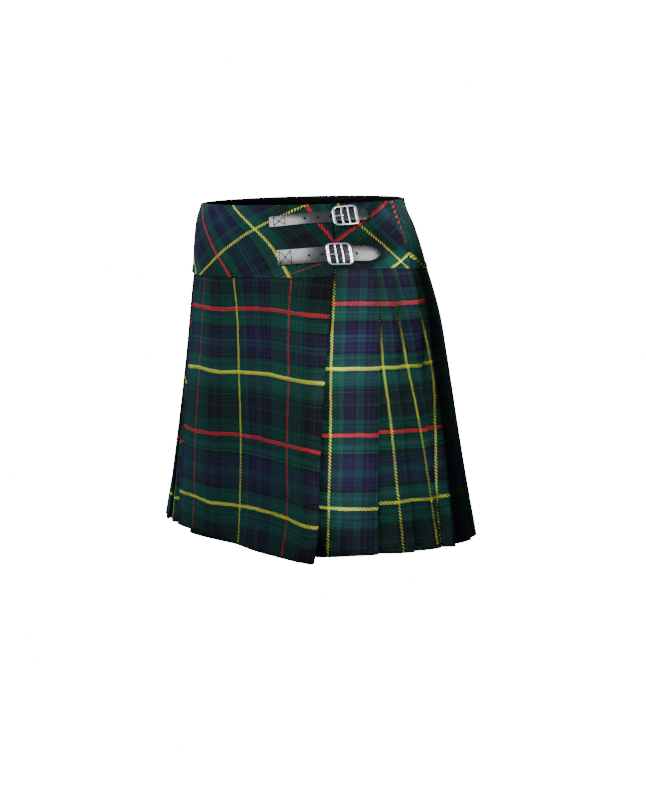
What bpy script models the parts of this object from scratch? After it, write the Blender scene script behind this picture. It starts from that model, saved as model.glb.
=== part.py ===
"""Tartan mini skirt, wrapped and pleated, in the hollow shape that it has when it is worn.

Metres, +Z up. The wearer faces -Y and +X is the wearer's left side. The origin is the middle of
the waist, 4.5 mm below the front waist edge. Angles run round the body in degrees, from 0 at
centre front, through 90 at the wearer's left side, to 180 at centre back.
"""
import functools
import math

import bmesh
import bpy
import numpy as np

MM = 0.001
CM = 0.01
COLLECTION_NAME = "tartan_mini_skirt"

# The inner form of the worn skirt, a rounded oval at each height.
# height, half width, depth over width, shift to the back, squareness of the front, of the back
SECTIONS = np.array([
    (1.5, 13.50, 0.720, 0.00, 2.00, 2.00),
    (0.0, 13.92, 0.720, 0.00, 2.05, 2.00),
    (-1.5, 14.52, 0.719, 0.22, 2.11, 2.01),
    (-4.0, 15.18, 0.718, 0.69, 2.17, 2.01),
    (-8.0, 15.88, 0.716, 1.35, 2.24, 2.03),
    (-12.0, 16.66, 0.714, 1.94, 2.31, 2.04),
    (-18.0, 17.44, 0.712, 2.34, 2.39, 2.07),
    (-25.0, 18.38, 0.708, 2.63, 2.48, 2.09),
    (-32.0, 19.40, 0.705, 2.84, 2.56, 2.12),
    (-40.5, 20.82, 0.700, 3.06, 2.66, 2.15),
])
SECTION_HEIGHTS = -SECTIONS[:, 0] * CM

# Edges of the yoke, the band from the waist to the hips: angle, height
WAIST_MEAN, WAIST_DIP, WAIST_LEAN = 7.5 * MM, 3.0 * MM, 3.5 * MM
UNDER_SEAM = np.array([(-60, -6.5), (57, -6.32), (80, -6.38), (97, -6.6), (110, -6.75),
                       (180, -6.9), (260, -6.9), (280, -7.5), (325, -8.15), (345, -8.2)])
FRONT_SEAM = np.array([(-100, -6.9), (-80, -7.5), (-35, -8.15), (0, -7.9), (30, -7.5), (50, -7.28)])
PLEAT_TOP, APRON_TOP, HEM_HEIGHT = -6.7 * CM, -7.7 * CM, -39.05 * CM

# Edges that run down the body: height, angle
LEFT_SIDE_SEAM = np.array([(1.3, 91.6), (-5.0, 96.3), (-7.0, 96.9)])
RIGHT_SIDE_SEAM = np.array([(1.3, 268.4), (-5.0, 263.7), (-7.0, 263.1)])
FRONT_YOKE_EDGE = np.array([(1.3, 54.0), (-3.3, 51.0), (-6.1, 48.9), (-7.3, 48.0)])
FIRST_PLEAT_EDGE = np.array([(-6.3, 71.1), (-18.0, 66.5), (-28.0, 62.8), (-38.9, 59.5)])
APRON_LEFT_EDGE = np.array([(-8.0, 323.0), (-21.0, 324.6), (-28.0, 327.2), (-38.9, 333.2)])
APRON_FREE_EDGE = np.array([(-7.3, 48.4), (-12.0, 43.5), (-19.5, 39.2), (-27.5, 36.6), (-36.0, 35.0),
                            (-39.3, 33.6)])
UNDER_YOKE_INNER_END = np.array([(1.3, -52.0), (-7.0, -52.0)])
UNDER_APRON_INNER_END = 28.0 * MM  # past the apron's left edge

# Cloth and its layers, as distances out from the form
SEAM_GAP = 0.3 * MM
SEAM_SPACE = 0.8 * MM  # between wall ends in height, where slanted walls leave 0.3 mm
SIDE_SEAM_HALF = 0.09  # degrees, half of the gap at a side seam
LINING_WALL, YOKE_WALL, APRON_WALL, PLEAT_WALL = 1.0 * MM, 1.5 * MM, 1.3 * MM, 1.0 * MM
LINING_OUT, LINING_BELOW_EDGE, LINING_BOTTOM = 0.2 * MM, 1.5 * MM, -6.2 * CM
LINING_ROWS, LINING_COLUMNS = 5, 72
UNDER_YOKE_OUT, FRONT_YOKE_OUT = 2.05 * MM, 4.1 * MM
SEAM_FLARE, SEAM_FLARE_HEIGHT = 0.9 * MM, 8.0 * MM
FLARE_FADE = 8.0  # degrees
FRONT_YOKE_CLIMB = 18.0  # degrees in which the front yoke rises to lie on the under yoke
FRONT_YOKE_CLEAR = 4.0  # degrees before the under yoke's end at which it is all the way out
YOKE_ROWS = (0.0, 0.22, 0.44, 0.66, 0.885, 1.0)
UNDER_YOKE_COLUMNS, BACK_YOKE_COLUMNS, FRONT_YOKE_COLUMNS = 31, 35, 31
LOW_LAYER_OUT, UNDER_APRON_OUT = 0.6 * MM, 1.5 * MM
LAYER_STEP_AT_SEAM, LAYER_STEP_AT_HEM = 1.3 * MM, 2.6 * MM

PLEATS = 24
PLEAT_LAP = 0.28
# Face of a pleat: share of its width, height in layers above the lowest
PLEAT_FACE = ((0.0, 0.1), (0.34, 0.9), (0.66, 1.88))
# Rise of the under apron to the first pleat: share of a width before its fold, share of the rise
UNDER_RISE = ((0.9, 0.0), (0.55, 0.45), (0.3, 0.96), (0.0, 1.0))
UNDER_APRON_COLUMNS = 12
PLEAT_PIECES = (("pleats_left", 0, 6), ("pleats_back_left", 6, 12),
                ("pleats_back_right", 12, 18), ("pleats_right", 18, 24))
PLEAT_ROWS = 8
LAST_LAYER_REACH = 12.0 * MM

APRON_OUT = 4.85 * MM
APRON_TURN_BACK, TURN_BACK_STEP, TURN_BACK_OPENING = 16.0 * MM, 1.5 * MM, 0.9 * MM
APRON_SWING, APRON_DROOP = 20.0 * MM, 11.0 * MM
SWING_START, SWING_ACROSS, SWING_DOWN = 0.12, 1.35, 1.4
APRON_ROWS, APRON_COLUMNS = 13, 19

# Straps: angle and height of the middle line, then the widths and the tip
LEATHER = 2.0 * MM
STRAP_OUT = FRONT_YOKE_OUT + YOKE_WALL / 2 + SEAM_GAP + LEATHER / 2
STRAPS = {
    "upper": {
        "line": np.array([(19.0, -1.25), (37.0, -0.76), (51.0, -0.52), (60.0, -0.30), (74.0, -0.25)]),
        "width": 12.7 * MM, "tip": 5.0 * MM, "buckle_angle": 60.2, "buckle_high": 21.8 * MM,
    },
    "lower": {
        "line": np.array([(21.2, -5.32), (37.0, -4.95), (44.0, -4.80), (53.0, -4.70), (75.5, -4.70)]),
        "width": 18.0 * MM, "tip": 20.0 * MM, "buckle_angle": 53.0, "buckle_high": 25.0 * MM,
    },
}
# Rounding of a strap's end: shares of the tip's length, then the powers and least half width
TIP_STEPS, TIP_POWERS, TIP_LEAST = (0.3, 0.55, 0.75, 0.9, 0.97, 1.0), (2.2, 0.62), 0.03
TAB_WALL, TAB_HALF = 1.5 * MM, 0.42
TAB_OUT = UNDER_YOKE_OUT + YOKE_WALL / 2 + SEAM_GAP + TAB_WALL / 2
TAB_BEHIND, TAB_REACH, TAB_FROM_EDGE = 8.0 * MM, 17.0 * MM, 3.0 * MM
BUCKLE_WIDE, BUCKLE_THICK, BUCKLE_ROUNDING = 27.7 * MM, 2.4 * MM, 0.7 * MM
BUCKLE_CORNER, WINDOW_CORNER = 5.0 * MM, 1.2 * MM
BUCKLE_SIDE_BAR, BUCKLE_THIN_BAR, BUCKLE_MIDDLE_BAR = 3.4 * MM, 1.8 * MM, 2.0 * MM
BUCKLE_BAR_APART = 6.6 * MM
BUCKLE_OUT = STRAP_OUT + LEATHER / 2 + SEAM_GAP + BUCKLE_THICK / 2
PRONG_RADIUS = 0.9 * MM
# Prong: millimetres along the strap from the buckle's middle, rise
PRONG_RUN = ((-1.8, 0.0), (-4.5, 0.25), (-7.5, 0.2), (-10.0, 0.0), (-12.2, 0.0))
PRONG_OUT = BUCKLE_OUT + BUCKLE_THICK / 2 + SEAM_GAP + PRONG_RADIUS

TARTAN_GREEN = (0.016, 0.045, 0.035)
LINING_BLACK = (0.006, 0.006, 0.007)
STRAP_BLACK = (0.03, 0.03, 0.032)
CHROME = (0.62, 0.63, 0.65)


def clear_scene():
    """Take away whatever the scene holds."""
    for old in list(bpy.data.objects):
        bpy.data.objects.remove(old, do_unlink=True)


def plain_material(name, colour, roughness, metallic=0.0):
    """One Principled material of a plain colour."""
    material = bpy.data.materials.new(name)
    material.use_nodes = True
    shader = material.node_tree.nodes["Principled BSDF"]
    shader.inputs["Base Color"].default_value = (*colour, 1.0)
    shader.inputs["Roughness"].default_value = roughness
    shader.inputs["Metallic"].default_value = metallic
    material.diffuse_color = (*colour, 1.0)
    return material


def height_on(edge, angle):
    """Height of a seam, kept as (angle, centimetres), at each angle."""
    return np.interp(angle, edge[:, 0], edge[:, 1]) * CM


def angle_on(edge, height):
    """Angle of an edge, kept as (centimetres, angle), at a height."""
    return np.interp(-height, -edge[:, 0] * CM, edge[:, 1])


def waist_height(angle):
    """Height of the waist edge, which dips at the front and lies higher at the wearer's left."""
    turn = np.radians(angle)
    return WAIST_MEAN - WAIST_DIP * np.cos(turn) + WAIST_LEAN * np.sin(turn)


def form_oval(angle, height):
    """Point of the form at each angle and height, as X and Y."""
    half, ratio, shift, front, back = (
        np.interp(-height, SECTION_HEIGHTS, column) for column in SECTIONS.T[1:])
    turn = np.radians(angle)
    sine, cosine = np.sin(turn), np.cos(turn)
    power = 2.0 / np.where(cosine > 0, front, back)
    x = half * CM * np.sign(sine) * np.abs(sine) ** power
    y = shift * CM - half * CM * ratio * np.sign(cosine) * np.abs(cosine) ** power
    return x, y


def on_form(angle, height, out):
    """Points at each angle and height, moved out from the form, level, by the distance out."""
    angle, height, out = np.broadcast_arrays(*(np.asarray(v, float) for v in (angle, height, out)))
    x, y = form_oval(angle, height)
    ahead, behind = form_oval(angle + 0.6, height), form_oval(angle - 0.6, height)
    along_x, along_y = ahead[0] - behind[0], ahead[1] - behind[1]
    length = np.hypot(along_x, along_y)
    return np.stack([x + out * along_y / length, y - out * along_x / length, height], -1)


def girth_table(height):
    """Distances round the form at a height, beside the angles that they reach."""
    angles = np.arange(-180.0, 540.1, 0.5)
    x, y = form_oval(angles, np.full(angles.shape, height))
    steps = np.hypot(np.diff(x), np.diff(y))
    return np.concatenate([[0.0], np.cumsum(steps)]), angles


def distance_at(height, angle):
    """Distance round the form at a height, up to an angle."""
    distances, angles = girth_table(height)
    return np.interp(angle, angles, distances)


def angle_at(height, distance):
    """Angle reached at a distance round the form at a height."""
    distances, angles = girth_table(height)
    return np.interp(distance, distances, angles)


def grid_mesh(name, rows, closed=False):
    """A mesh of four-sided faces over rows of points, closed round each row if asked."""
    rows = np.asarray(rows)
    count, across = rows.shape[:2]
    last = across if closed else across - 1
    faces = []
    for r in range(count - 1):
        for c in range(last):
            right = (c + 1) % across
            above, below = r * across, (r + 1) * across
            faces.append((above + c, below + c, below + right, above + right))
    mesh = bpy.data.meshes.new(name)
    mesh.from_pydata([tuple(p) for p in rows.reshape(-1, 3)], [], faces)
    mesh.update()
    return mesh


def add_cloth(name, rows, wall, material, collection, closed=False):
    """A wall of even thickness, half on each side of rows of points."""
    piece = bpy.data.objects.new(name, grid_mesh(name, rows, closed))
    piece.data.materials.append(material)
    piece.data.shade_smooth()
    collection.objects.link(piece)
    thickness = piece.modifiers.new("wall", "SOLIDIFY")
    thickness.thickness = wall
    thickness.offset = 0.0
    thickness.use_even_offset = True
    return piece


def yoke_rows(angles_of, seam, out, across, flare_from=-360.0):
    """Rows of a piece of the yoke, from the waist edge to its seam.

    It is flared a little at the seam, to lie over the tops of the pleats, past an angle.
    """
    rows = []
    for part in YOKE_ROWS:
        angles = angles_of(part, across)
        high, low = waist_height(angles), height_on(seam, angles) + SEAM_SPACE / 2
        heights = high + (low - high) * part
        flare = SEAM_FLARE * np.clip(1.0 - (heights - low) / SEAM_FLARE_HEIGHT, 0.0, 1.0)
        flare = flare * np.clip((angles - flare_from) / FLARE_FADE, 0.0, 1.0)
        rows.append(on_form(angles, heights, out(angles) + flare))
    return rows


def yoke_span(start_edge, end_edge):
    """The angles across a piece of the yoke, from one of its side edges to the other."""
    def angles_of(part, across):
        height = (1.0 - part * 8.0) * CM
        return np.linspace(angle_on(start_edge, height), angle_on(end_edge, height), across)
    return angles_of


def lining_ring(part):
    """One row of the lining, from just below the waist edge (0) to above the yoke's seam (1)."""
    angles = np.linspace(0.0, 360.0, LINING_COLUMNS + 1)[:-1]
    top = waist_height(angles) - LINING_BELOW_EDGE
    return on_form(angles, top + part * (LINING_BOTTOM - top), LINING_OUT)


def front_yoke_out(angles):
    """Distance out of the front yoke, which rises on to the under yoke past the latter's end."""
    start = UNDER_YOKE_INNER_END[0, 1] - FRONT_YOKE_CLEAR - FRONT_YOKE_CLIMB
    over = np.clip((angles - start) / FRONT_YOKE_CLIMB, 0.0, 1.0)
    return UNDER_YOKE_OUT + (FRONT_YOKE_OUT - UNDER_YOKE_OUT) * over


def under_yoke_out(angles):
    """Distance out of the under and back yokes, the same all round."""
    return np.full(angles.shape, UNDER_YOKE_OUT)


def build_yoke(cloth, lining, collection):
    """The hip yoke: its black lining, and the under, back and front pieces of bias-cut tartan."""
    ring = [lining_ring(part) for part in np.linspace(0.0, 1.0, LINING_ROWS)]
    add_cloth("yoke_lining", ring, LINING_WALL, lining, collection, closed=True)
    half_gap = (0, SIDE_SEAM_HALF)
    under = yoke_rows(yoke_span(UNDER_YOKE_INNER_END, LEFT_SIDE_SEAM - half_gap), UNDER_SEAM,
                      under_yoke_out, UNDER_YOKE_COLUMNS, flare_from=FRONT_YOKE_EDGE[-1, 1] + 2.0)
    back = yoke_rows(yoke_span(LEFT_SIDE_SEAM + half_gap, RIGHT_SIDE_SEAM - half_gap), UNDER_SEAM,
                     under_yoke_out, BACK_YOKE_COLUMNS)
    front = yoke_rows(yoke_span(RIGHT_SIDE_SEAM + half_gap - (0, 360), FRONT_YOKE_EDGE), FRONT_SEAM,
                      front_yoke_out, FRONT_YOKE_COLUMNS)
    for name, rows in (("yoke_under", under), ("yoke_back", back), ("yoke_front", front)):
        add_cloth(name, rows, YOKE_WALL, cloth, collection)


def layer_step(part):
    """Distance between the folded layers of a pleat, from the seam (0) to the hem (1)."""
    return LAYER_STEP_AT_SEAM + (LAYER_STEP_AT_HEM - LAYER_STEP_AT_SEAM) * part


def pleat_frame(part):
    """Nominal height of a row, where the pleats start round the body and the width of one."""
    height = PLEAT_TOP + part * (HEM_HEIGHT - PLEAT_TOP)
    start = distance_at(height, angle_on(FIRST_PLEAT_EDGE, height))
    end = distance_at(height, angle_on(APRON_LEFT_EDGE, height))
    return height, start, (end - start) / PLEATS


def fold_path(first, last, part):
    """Distances round the body and distances out for the pleats from first to last, on one row.

    Each pleat starts under the one before it, rises to its own fold edge and turns back under
    that edge, so that its lap is three layers thick. The last one ends under the apron.
    """
    _, start, width = pleat_frame(part)
    step, lap = layer_step(part), PLEAT_LAP * width
    low, middle, top = LOW_LAYER_OUT, LOW_LAYER_OUT + step, LOW_LAYER_OUT + 2 * step
    path = [(start + first * width - lap + 2 * SEAM_GAP, low)]
    for k in range(first, last):
        edge, following = start + k * width, start + (k + 1) * width
        path += [(edge + share * width, low + layers * step) for share, layers in PLEAT_FACE]
        if k == PLEATS - 1:
            path += [(following - lap, low), (following + LAST_LAYER_REACH, low)]
            continue
        path += [(following - PLEAT_WALL, top), (following - PLEAT_WALL, middle), (following - lap, middle)]
        if k < last - 1:
            path.append((following - lap, low))
    return np.array(path).T


def under_path(part):
    """Distances round the body and out for the under apron, up to its fold at the first pleat."""
    height, start, width = pleat_frame(part)
    step = layer_step(part)
    top = LOW_LAYER_OUT + 2 * step
    inner = distance_at(height, angle_on(APRON_LEFT_EDGE, height) - 360.0) + UNDER_APRON_INNER_END
    flat = np.linspace(inner, start - UNDER_RISE[0][0] * width, UNDER_APRON_COLUMNS)
    path = [(distance, UNDER_APRON_OUT) for distance in flat]
    path += [(start - share * width, UNDER_APRON_OUT + rise * (top - UNDER_APRON_OUT))
             for share, rise in UNDER_RISE[1:]]
    path[-1] = (start - PLEAT_WALL, top)
    path += [(start - PLEAT_WALL, top - step), (start - PLEAT_LAP * width, top - step)]
    return np.array(path).T


def hung_rows(path_of, count, seam):
    """Rows of a piece that hangs from a seam to the hem, from a path given for each row."""
    rows = []
    for part in np.linspace(0.0, 1.0, count):
        height = pleat_frame(part)[0]
        distances, outs = path_of(part)
        angles = angle_at(height, distances)
        top = height_on(seam, angles) - SEAM_SPACE / 2
        rows.append(on_form(angles, top + part * (HEM_HEIGHT - top), outs))
    return rows


def build_pleats(cloth, collection):
    """The knife pleats that run round the back, in four lengths, and the plain under apron."""
    for name, first, last in PLEAT_PIECES:
        rows = hung_rows(functools.partial(fold_path, first, last), PLEAT_ROWS, UNDER_SEAM)
        add_cloth(name, rows, PLEAT_WALL, cloth, collection)
    add_cloth("under_apron", hung_rows(under_path, PLEAT_ROWS, UNDER_SEAM), PLEAT_WALL, cloth, collection)


def build_apron(cloth, collection):
    """The over apron: a plain panel with a turned-back left edge, whose free corner swings out."""
    across = np.linspace(0.0, 1.0, APRON_COLUMNS)
    swing = np.clip((across - SWING_START) / (1.0 - SWING_START), 0.0, 1.0) ** SWING_ACROSS
    rows = []
    for part in np.linspace(0.0, 1.0, APRON_ROWS):
        height = APRON_TOP + part * (HEM_HEIGHT - APRON_TOP)
        left = distance_at(height, angle_on(APRON_LEFT_EDGE, height) - 360.0)
        free = distance_at(height, angle_on(APRON_FREE_EDGE, height))
        inside = APRON_OUT - TURN_BACK_STEP - TURN_BACK_OPENING * part
        distances = np.concatenate([[left + APRON_TURN_BACK, left], left + (free - left) * across])
        outs = np.concatenate([[inside, inside], APRON_OUT + APRON_SWING * swing * part ** SWING_DOWN])
        drop = np.concatenate([[0.0, 0.0], APRON_DROOP * swing * part])
        angles = angle_at(height, distances)
        top = height_on(FRONT_SEAM, angles) - SEAM_SPACE / 2
        rows.append(on_form(angles, top + part * (HEM_HEIGHT - top) - drop, outs))
    add_cloth("apron", rows, APRON_WALL, cloth, collection)


def strap_point(strap, along, across, out):
    """A point of a strap: along and across it from its buckle's middle, in metres."""
    line = strap["line"]
    middle_height = height_on(line, strap["buckle_angle"])
    start = distance_at(middle_height, strap["buckle_angle"])
    angle = angle_at(middle_height, start + along)
    return on_form(angle, height_on(line, angle) + across, out)


def run_to(strap, angle):
    """Distance along a strap from the middle of its buckle to an angle."""
    height = height_on(strap["line"], strap["buckle_angle"])
    return distance_at(height, angle) - distance_at(height, strap["buckle_angle"])


def build_strap(name, strap, leather, collection):
    """A strap with a rounded point, and the tab that holds its buckle to the under yoke."""
    begin, end = (run_to(strap, strap["line"][row, 0]) for row in (0, -1))
    round_start = end - strap["tip"]
    along = np.concatenate([np.linspace(begin, round_start, 13),
                            round_start + strap["tip"] * np.array(TIP_STEPS)])
    past = np.clip((along - round_start) / strap["tip"], 0.0, 1.0)
    half = strap["width"] / 2 * np.maximum(1.0 - past ** TIP_POWERS[0], TIP_LEAST) ** TIP_POWERS[1]
    rows = [strap_point(strap, along, half * side, STRAP_OUT) for side in (1.0, 0.0, -1.0)]
    add_cloth(f"strap_{name}", rows, LEATHER, leather, collection)

    edge_angle = angle_on(FRONT_YOKE_EDGE, height_on(strap["line"], strap["buckle_angle"]))
    tab_start = max(-TAB_BEHIND, run_to(strap, edge_angle) + TAB_FROM_EDGE)
    along = np.linspace(tab_start, TAB_REACH, 6)
    half = TAB_HALF * strap["width"]
    rows = [strap_point(strap, along, half * side, TAB_OUT) for side in (1.0, -1.0)]
    add_cloth(f"buckle_tab_{name}", rows, TAB_WALL, leather, collection)


def rounded_outline(left, right, bottom, top, radius, steps):
    """Corner points of a rounded rectangle, anticlockwise."""
    points = []
    corners = ((right - radius, top - radius, 0.0), (left + radius, top - radius, 90.0),
               (left + radius, bottom + radius, 180.0), (right - radius, bottom + radius, 270.0))
    for x, y, first in corners:
        for turn in np.radians(first + np.linspace(0.0, 90.0, steps)):
            points.append((x + radius * math.cos(turn), y + radius * math.sin(turn)))
    return points


def buckle_plate(name, high):
    """A flat buckle, with two side bars, two middle bars and rounded edges, as a closed mesh."""
    half_wide, half_high = BUCKLE_WIDE / 2, high / 2
    inside_high = half_high - BUCKLE_THIN_BAR
    middle = BUCKLE_BAR_APART / 2 + BUCKLE_MIDDLE_BAR / 2
    inner = BUCKLE_BAR_APART / 2 - BUCKLE_MIDDLE_BAR / 2
    side = half_wide - BUCKLE_SIDE_BAR
    outlines = [rounded_outline(-half_wide, half_wide, -half_high, half_high, BUCKLE_CORNER, 5)]
    for left, right in ((-side, -middle), (-inner, inner), (middle, side)):
        outlines.append(rounded_outline(left, right, -inside_high, inside_high, WINDOW_CORNER, 3))
    curve = bpy.data.curves.new(name, "CURVE")
    curve.dimensions = "2D"
    curve.fill_mode = "BOTH"
    curve.extrude = BUCKLE_THICK / 2 - BUCKLE_ROUNDING
    curve.bevel_depth = BUCKLE_ROUNDING
    curve.bevel_resolution = 1
    curve.offset = -BUCKLE_ROUNDING
    for outline in outlines:
        spline = curve.splines.new("POLY")
        spline.points.add(len(outline) - 1)
        for point, (x, y) in zip(spline.points, outline):
            point.co = (x, y, 0.0, 1.0)
        spline.use_cyclic_u = True
    return curve


def mesh_of_curve(curve, name):
    """The closed mesh of a curve, with its loose caps welded on."""
    holder = bpy.data.objects.new(name + "_curve", curve)
    bpy.context.scene.collection.objects.link(holder)
    depsgraph = bpy.context.evaluated_depsgraph_get()
    mesh = bpy.data.meshes.new_from_object(holder.evaluated_get(depsgraph))
    bpy.data.objects.remove(holder)
    bpy.data.curves.remove(curve)
    shape = bmesh.new()
    shape.from_mesh(mesh)
    bmesh.ops.remove_doubles(shape, verts=shape.verts, dist=0.01 * MM)
    bmesh.ops.recalc_face_normals(shape, faces=shape.faces)
    shape.to_mesh(mesh)
    shape.free()
    mesh.name = name
    return mesh


def wrap_on_strap(mesh, strap, out):
    """Bend a flat mesh round the body: its X runs along the strap and its Z points out."""
    points = np.array([v.co for v in mesh.vertices])
    bent = strap_point(strap, points[:, 0], points[:, 1], out + points[:, 2])
    for vertex, place in zip(mesh.vertices, bent):
        vertex.co = place
    mesh.update()


def build_buckle(name, strap, metal, collection):
    """A chrome buckle on its strap, and the prong that points back along the strap."""
    plate = mesh_of_curve(buckle_plate(f"buckle_{name}", strap["buckle_high"]), f"buckle_{name}")
    wrap_on_strap(plate, strap, BUCKLE_OUT)
    curve = bpy.data.curves.new(f"prong_{name}", "CURVE")
    curve.dimensions = "3D"
    curve.bevel_depth = PRONG_RADIUS
    curve.bevel_resolution = 2
    curve.use_fill_caps = True
    spline = curve.splines.new("POLY")
    spline.points.add(len(PRONG_RUN) - 1)
    for point, (along, rise) in zip(spline.points, PRONG_RUN):
        point.co = (along * MM, 0.0, rise * MM, 1.0)
    prong = mesh_of_curve(curve, f"prong_{name}")
    wrap_on_strap(prong, strap, PRONG_OUT)
    for label, mesh in ((f"buckle_{name}", plate), (f"prong_{name}", prong)):
        mesh.materials.clear()
        mesh.materials.append(metal)
        mesh.shade_smooth()
        collection.objects.link(bpy.data.objects.new(label, mesh))


def build_skirt():
    """Every piece of the skirt, in one collection."""
    clear_scene()
    collection = bpy.data.collections.new(COLLECTION_NAME)
    bpy.context.scene.collection.children.link(collection)
    cloth = plain_material("wool_tartan", TARTAN_GREEN, 0.9)
    lining = plain_material("black_lining", LINING_BLACK, 0.8)
    leather = plain_material("black_strap_leather", STRAP_BLACK, 0.42)
    metal = plain_material("polished_chrome", CHROME, 0.16, 1.0)
    build_yoke(cloth, lining, collection)
    build_pleats(cloth, collection)
    build_apron(cloth, collection)
    for name, strap in STRAPS.items():
        build_strap(name, strap, leather, collection)
        build_buckle(name, strap, metal, collection)


build_skirt()
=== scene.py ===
"""Looks of the tartan mini skirt: cloth, lining, leather and metal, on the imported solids.

Metres, +Z up. The wearer faces -Y and +X is the wearer's left side. Angles run round the body in
degrees from centre front (0) through the wearer's left (90) to centre back (180).
"""
import functools
import math

import bpy
import numpy as np
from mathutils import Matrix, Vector


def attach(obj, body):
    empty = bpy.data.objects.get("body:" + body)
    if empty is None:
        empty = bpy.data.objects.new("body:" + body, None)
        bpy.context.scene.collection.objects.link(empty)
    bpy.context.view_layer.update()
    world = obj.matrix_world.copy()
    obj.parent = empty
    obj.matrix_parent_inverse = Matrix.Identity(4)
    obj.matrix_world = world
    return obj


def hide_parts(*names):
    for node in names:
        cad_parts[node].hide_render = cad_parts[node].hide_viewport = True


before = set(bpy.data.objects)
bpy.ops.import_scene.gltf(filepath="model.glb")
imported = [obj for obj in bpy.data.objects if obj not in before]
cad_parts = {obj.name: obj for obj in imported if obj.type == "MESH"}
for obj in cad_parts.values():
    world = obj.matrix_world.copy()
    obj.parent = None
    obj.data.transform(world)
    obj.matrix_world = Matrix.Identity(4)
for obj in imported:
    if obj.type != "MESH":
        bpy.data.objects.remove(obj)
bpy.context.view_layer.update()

MM = 0.001
CM = 0.01

# The inner form of the worn skirt, as in the solids.
# height, half width, depth over width, shift to the back, squareness of the front, of the back
SECTIONS = np.array([
    (1.5, 13.50, 0.720, 0.00, 2.00, 2.00),
    (0.0, 13.92, 0.720, 0.00, 2.05, 2.00),
    (-1.5, 14.52, 0.719, 0.22, 2.11, 2.01),
    (-4.0, 15.18, 0.718, 0.69, 2.17, 2.01),
    (-8.0, 15.88, 0.716, 1.35, 2.24, 2.03),
    (-12.0, 16.66, 0.714, 1.94, 2.31, 2.04),
    (-18.0, 17.44, 0.712, 2.34, 2.39, 2.07),
    (-25.0, 18.38, 0.708, 2.63, 2.48, 2.09),
    (-32.0, 19.40, 0.705, 2.84, 2.56, 2.12),
    (-40.5, 20.82, 0.700, 3.06, 2.66, 2.15),
])
WAIST_MEAN, WAIST_DIP, WAIST_LEAN = 7.5 * MM, 3.0 * MM, 3.5 * MM
PLEAT_TOP, APRON_TOP, HEM_HEIGHT = -6.7 * CM, -7.7 * CM, -39.05 * CM

# Seams round the body: angle, height in centimetres
UNDER_SEAM = np.array([(-60, -6.5), (57, -6.32), (80, -6.38), (97, -6.6), (110, -6.75),
                       (180, -6.9), (260, -6.9), (280, -7.5), (325, -8.15), (345, -8.2)])
FRONT_SEAM = np.array([(-100, -6.9), (-80, -7.5), (-35, -8.15), (0, -7.9), (30, -7.5), (50, -7.28)])

# Edges down the body: height in centimetres, angle
LEFT_SIDE_SEAM = np.array([(1.3, 91.6), (-5.0, 96.3), (-7.0, 96.9)])
RIGHT_SIDE_SEAM = np.array([(1.3, 268.4), (-5.0, 263.7), (-7.0, 263.1)])
FRONT_YOKE_EDGE = np.array([(1.3, 54.0), (-3.3, 51.0), (-6.1, 48.9), (-7.3, 48.0)])
UNDER_YOKE_INNER_END = np.array([(1.3, -52.0), (-7.0, -52.0)])
FIRST_PLEAT_EDGE = np.array([(-6.3, 71.1), (-18.0, 66.5), (-28.0, 62.8), (-38.9, 59.5)])
APRON_LEFT_EDGE = np.array([(-8.0, 323.0), (-21.0, 324.6), (-28.0, 327.2), (-38.9, 333.2)])
APRON_FREE_EDGE = np.array([(-7.3, 48.4), (-12.0, 43.5), (-19.5, 39.2), (-27.5, 36.6), (-36.0, 35.0),
                            (-39.3, 33.6)])

# Layers, as distances out from the form, and the thickness of the cloths that show
LINING_OUT, UNDER_YOKE_OUT, FRONT_YOKE_OUT = 0.2 * MM, 2.05 * MM, 4.1 * MM
LOW_LAYER_OUT, UNDER_APRON_OUT, APRON_OUT = 0.6 * MM, 1.5 * MM, 4.85 * MM
YOKE_CLOTH, SKIRT_CLOTH, LINING_CLOTH = 0.85 * MM, 0.8 * MM, 0.6 * MM
EDGE_ROLL = 0.4 * MM
LAYER_STEP_AT_SEAM, LAYER_STEP_AT_HEM = 1.3 * MM, 2.6 * MM
PLEATS, PLEAT_LAP = 24, 0.28

# The tartan: 77.5 mm from each yellow line to the next red one, both ways
STRIPE_SPACING = 77.5 * MM


def smooth(at, places, values):
    """Values on a smooth curve through points, which runs on straight past its ends."""
    at, places, values = (np.asarray(v, float) for v in (at, places, values))
    shape = np.broadcast_shapes(at.shape, places.shape[1:], values.shape[1:])
    count = len(places)
    spread = []
    for points in (places, values):
        tall = points.reshape(points.shape + (1,) * (len(shape) + 1 - points.ndim))
        spread.append(np.broadcast_to(tall, (count, *shape)))
    places, values = spread
    at = np.broadcast_to(at, shape)
    widths = np.diff(places, axis=0)
    slopes = np.diff(values, axis=0) / widths
    inner = (slopes[:-1] * widths[1:] + slopes[1:] * widths[:-1]) / (widths[1:] + widths[:-1])
    tangents = np.concatenate([slopes[:1], inner, slopes[-1:]])
    first = np.clip((at >= places[1:-1]).sum(0), 0, count - 2)[None]
    x0, x1, y0, y1, m0, m1 = (
        np.take_along_axis(a, first + step, 0)[0]
        for a, step in ((places, 0), (places, 1), (values, 0), (values, 1), (tangents, 0), (tangents, 1)))
    width = x1 - x0
    f = (at - x0) / width
    curve = (y0 * (1 + 2 * f) + width * m0 * f) * (1 - f) ** 2
    curve += (y1 * (3 - 2 * f) + width * m1 * (f - 1)) * f ** 2
    return np.where(f < 0, y0 + m0 * (at - x0), np.where(f > 1, y1 + m1 * (at - x1), curve))


def height_on(seam, angle):
    """Height of a seam at each angle."""
    return smooth(angle, seam[:, 0], seam[:, 1]) * CM


def angle_on(edge, height):
    """Angle of an edge at each height."""
    return smooth(-np.asarray(height), -edge[:, 0] * CM, edge[:, 1])


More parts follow.
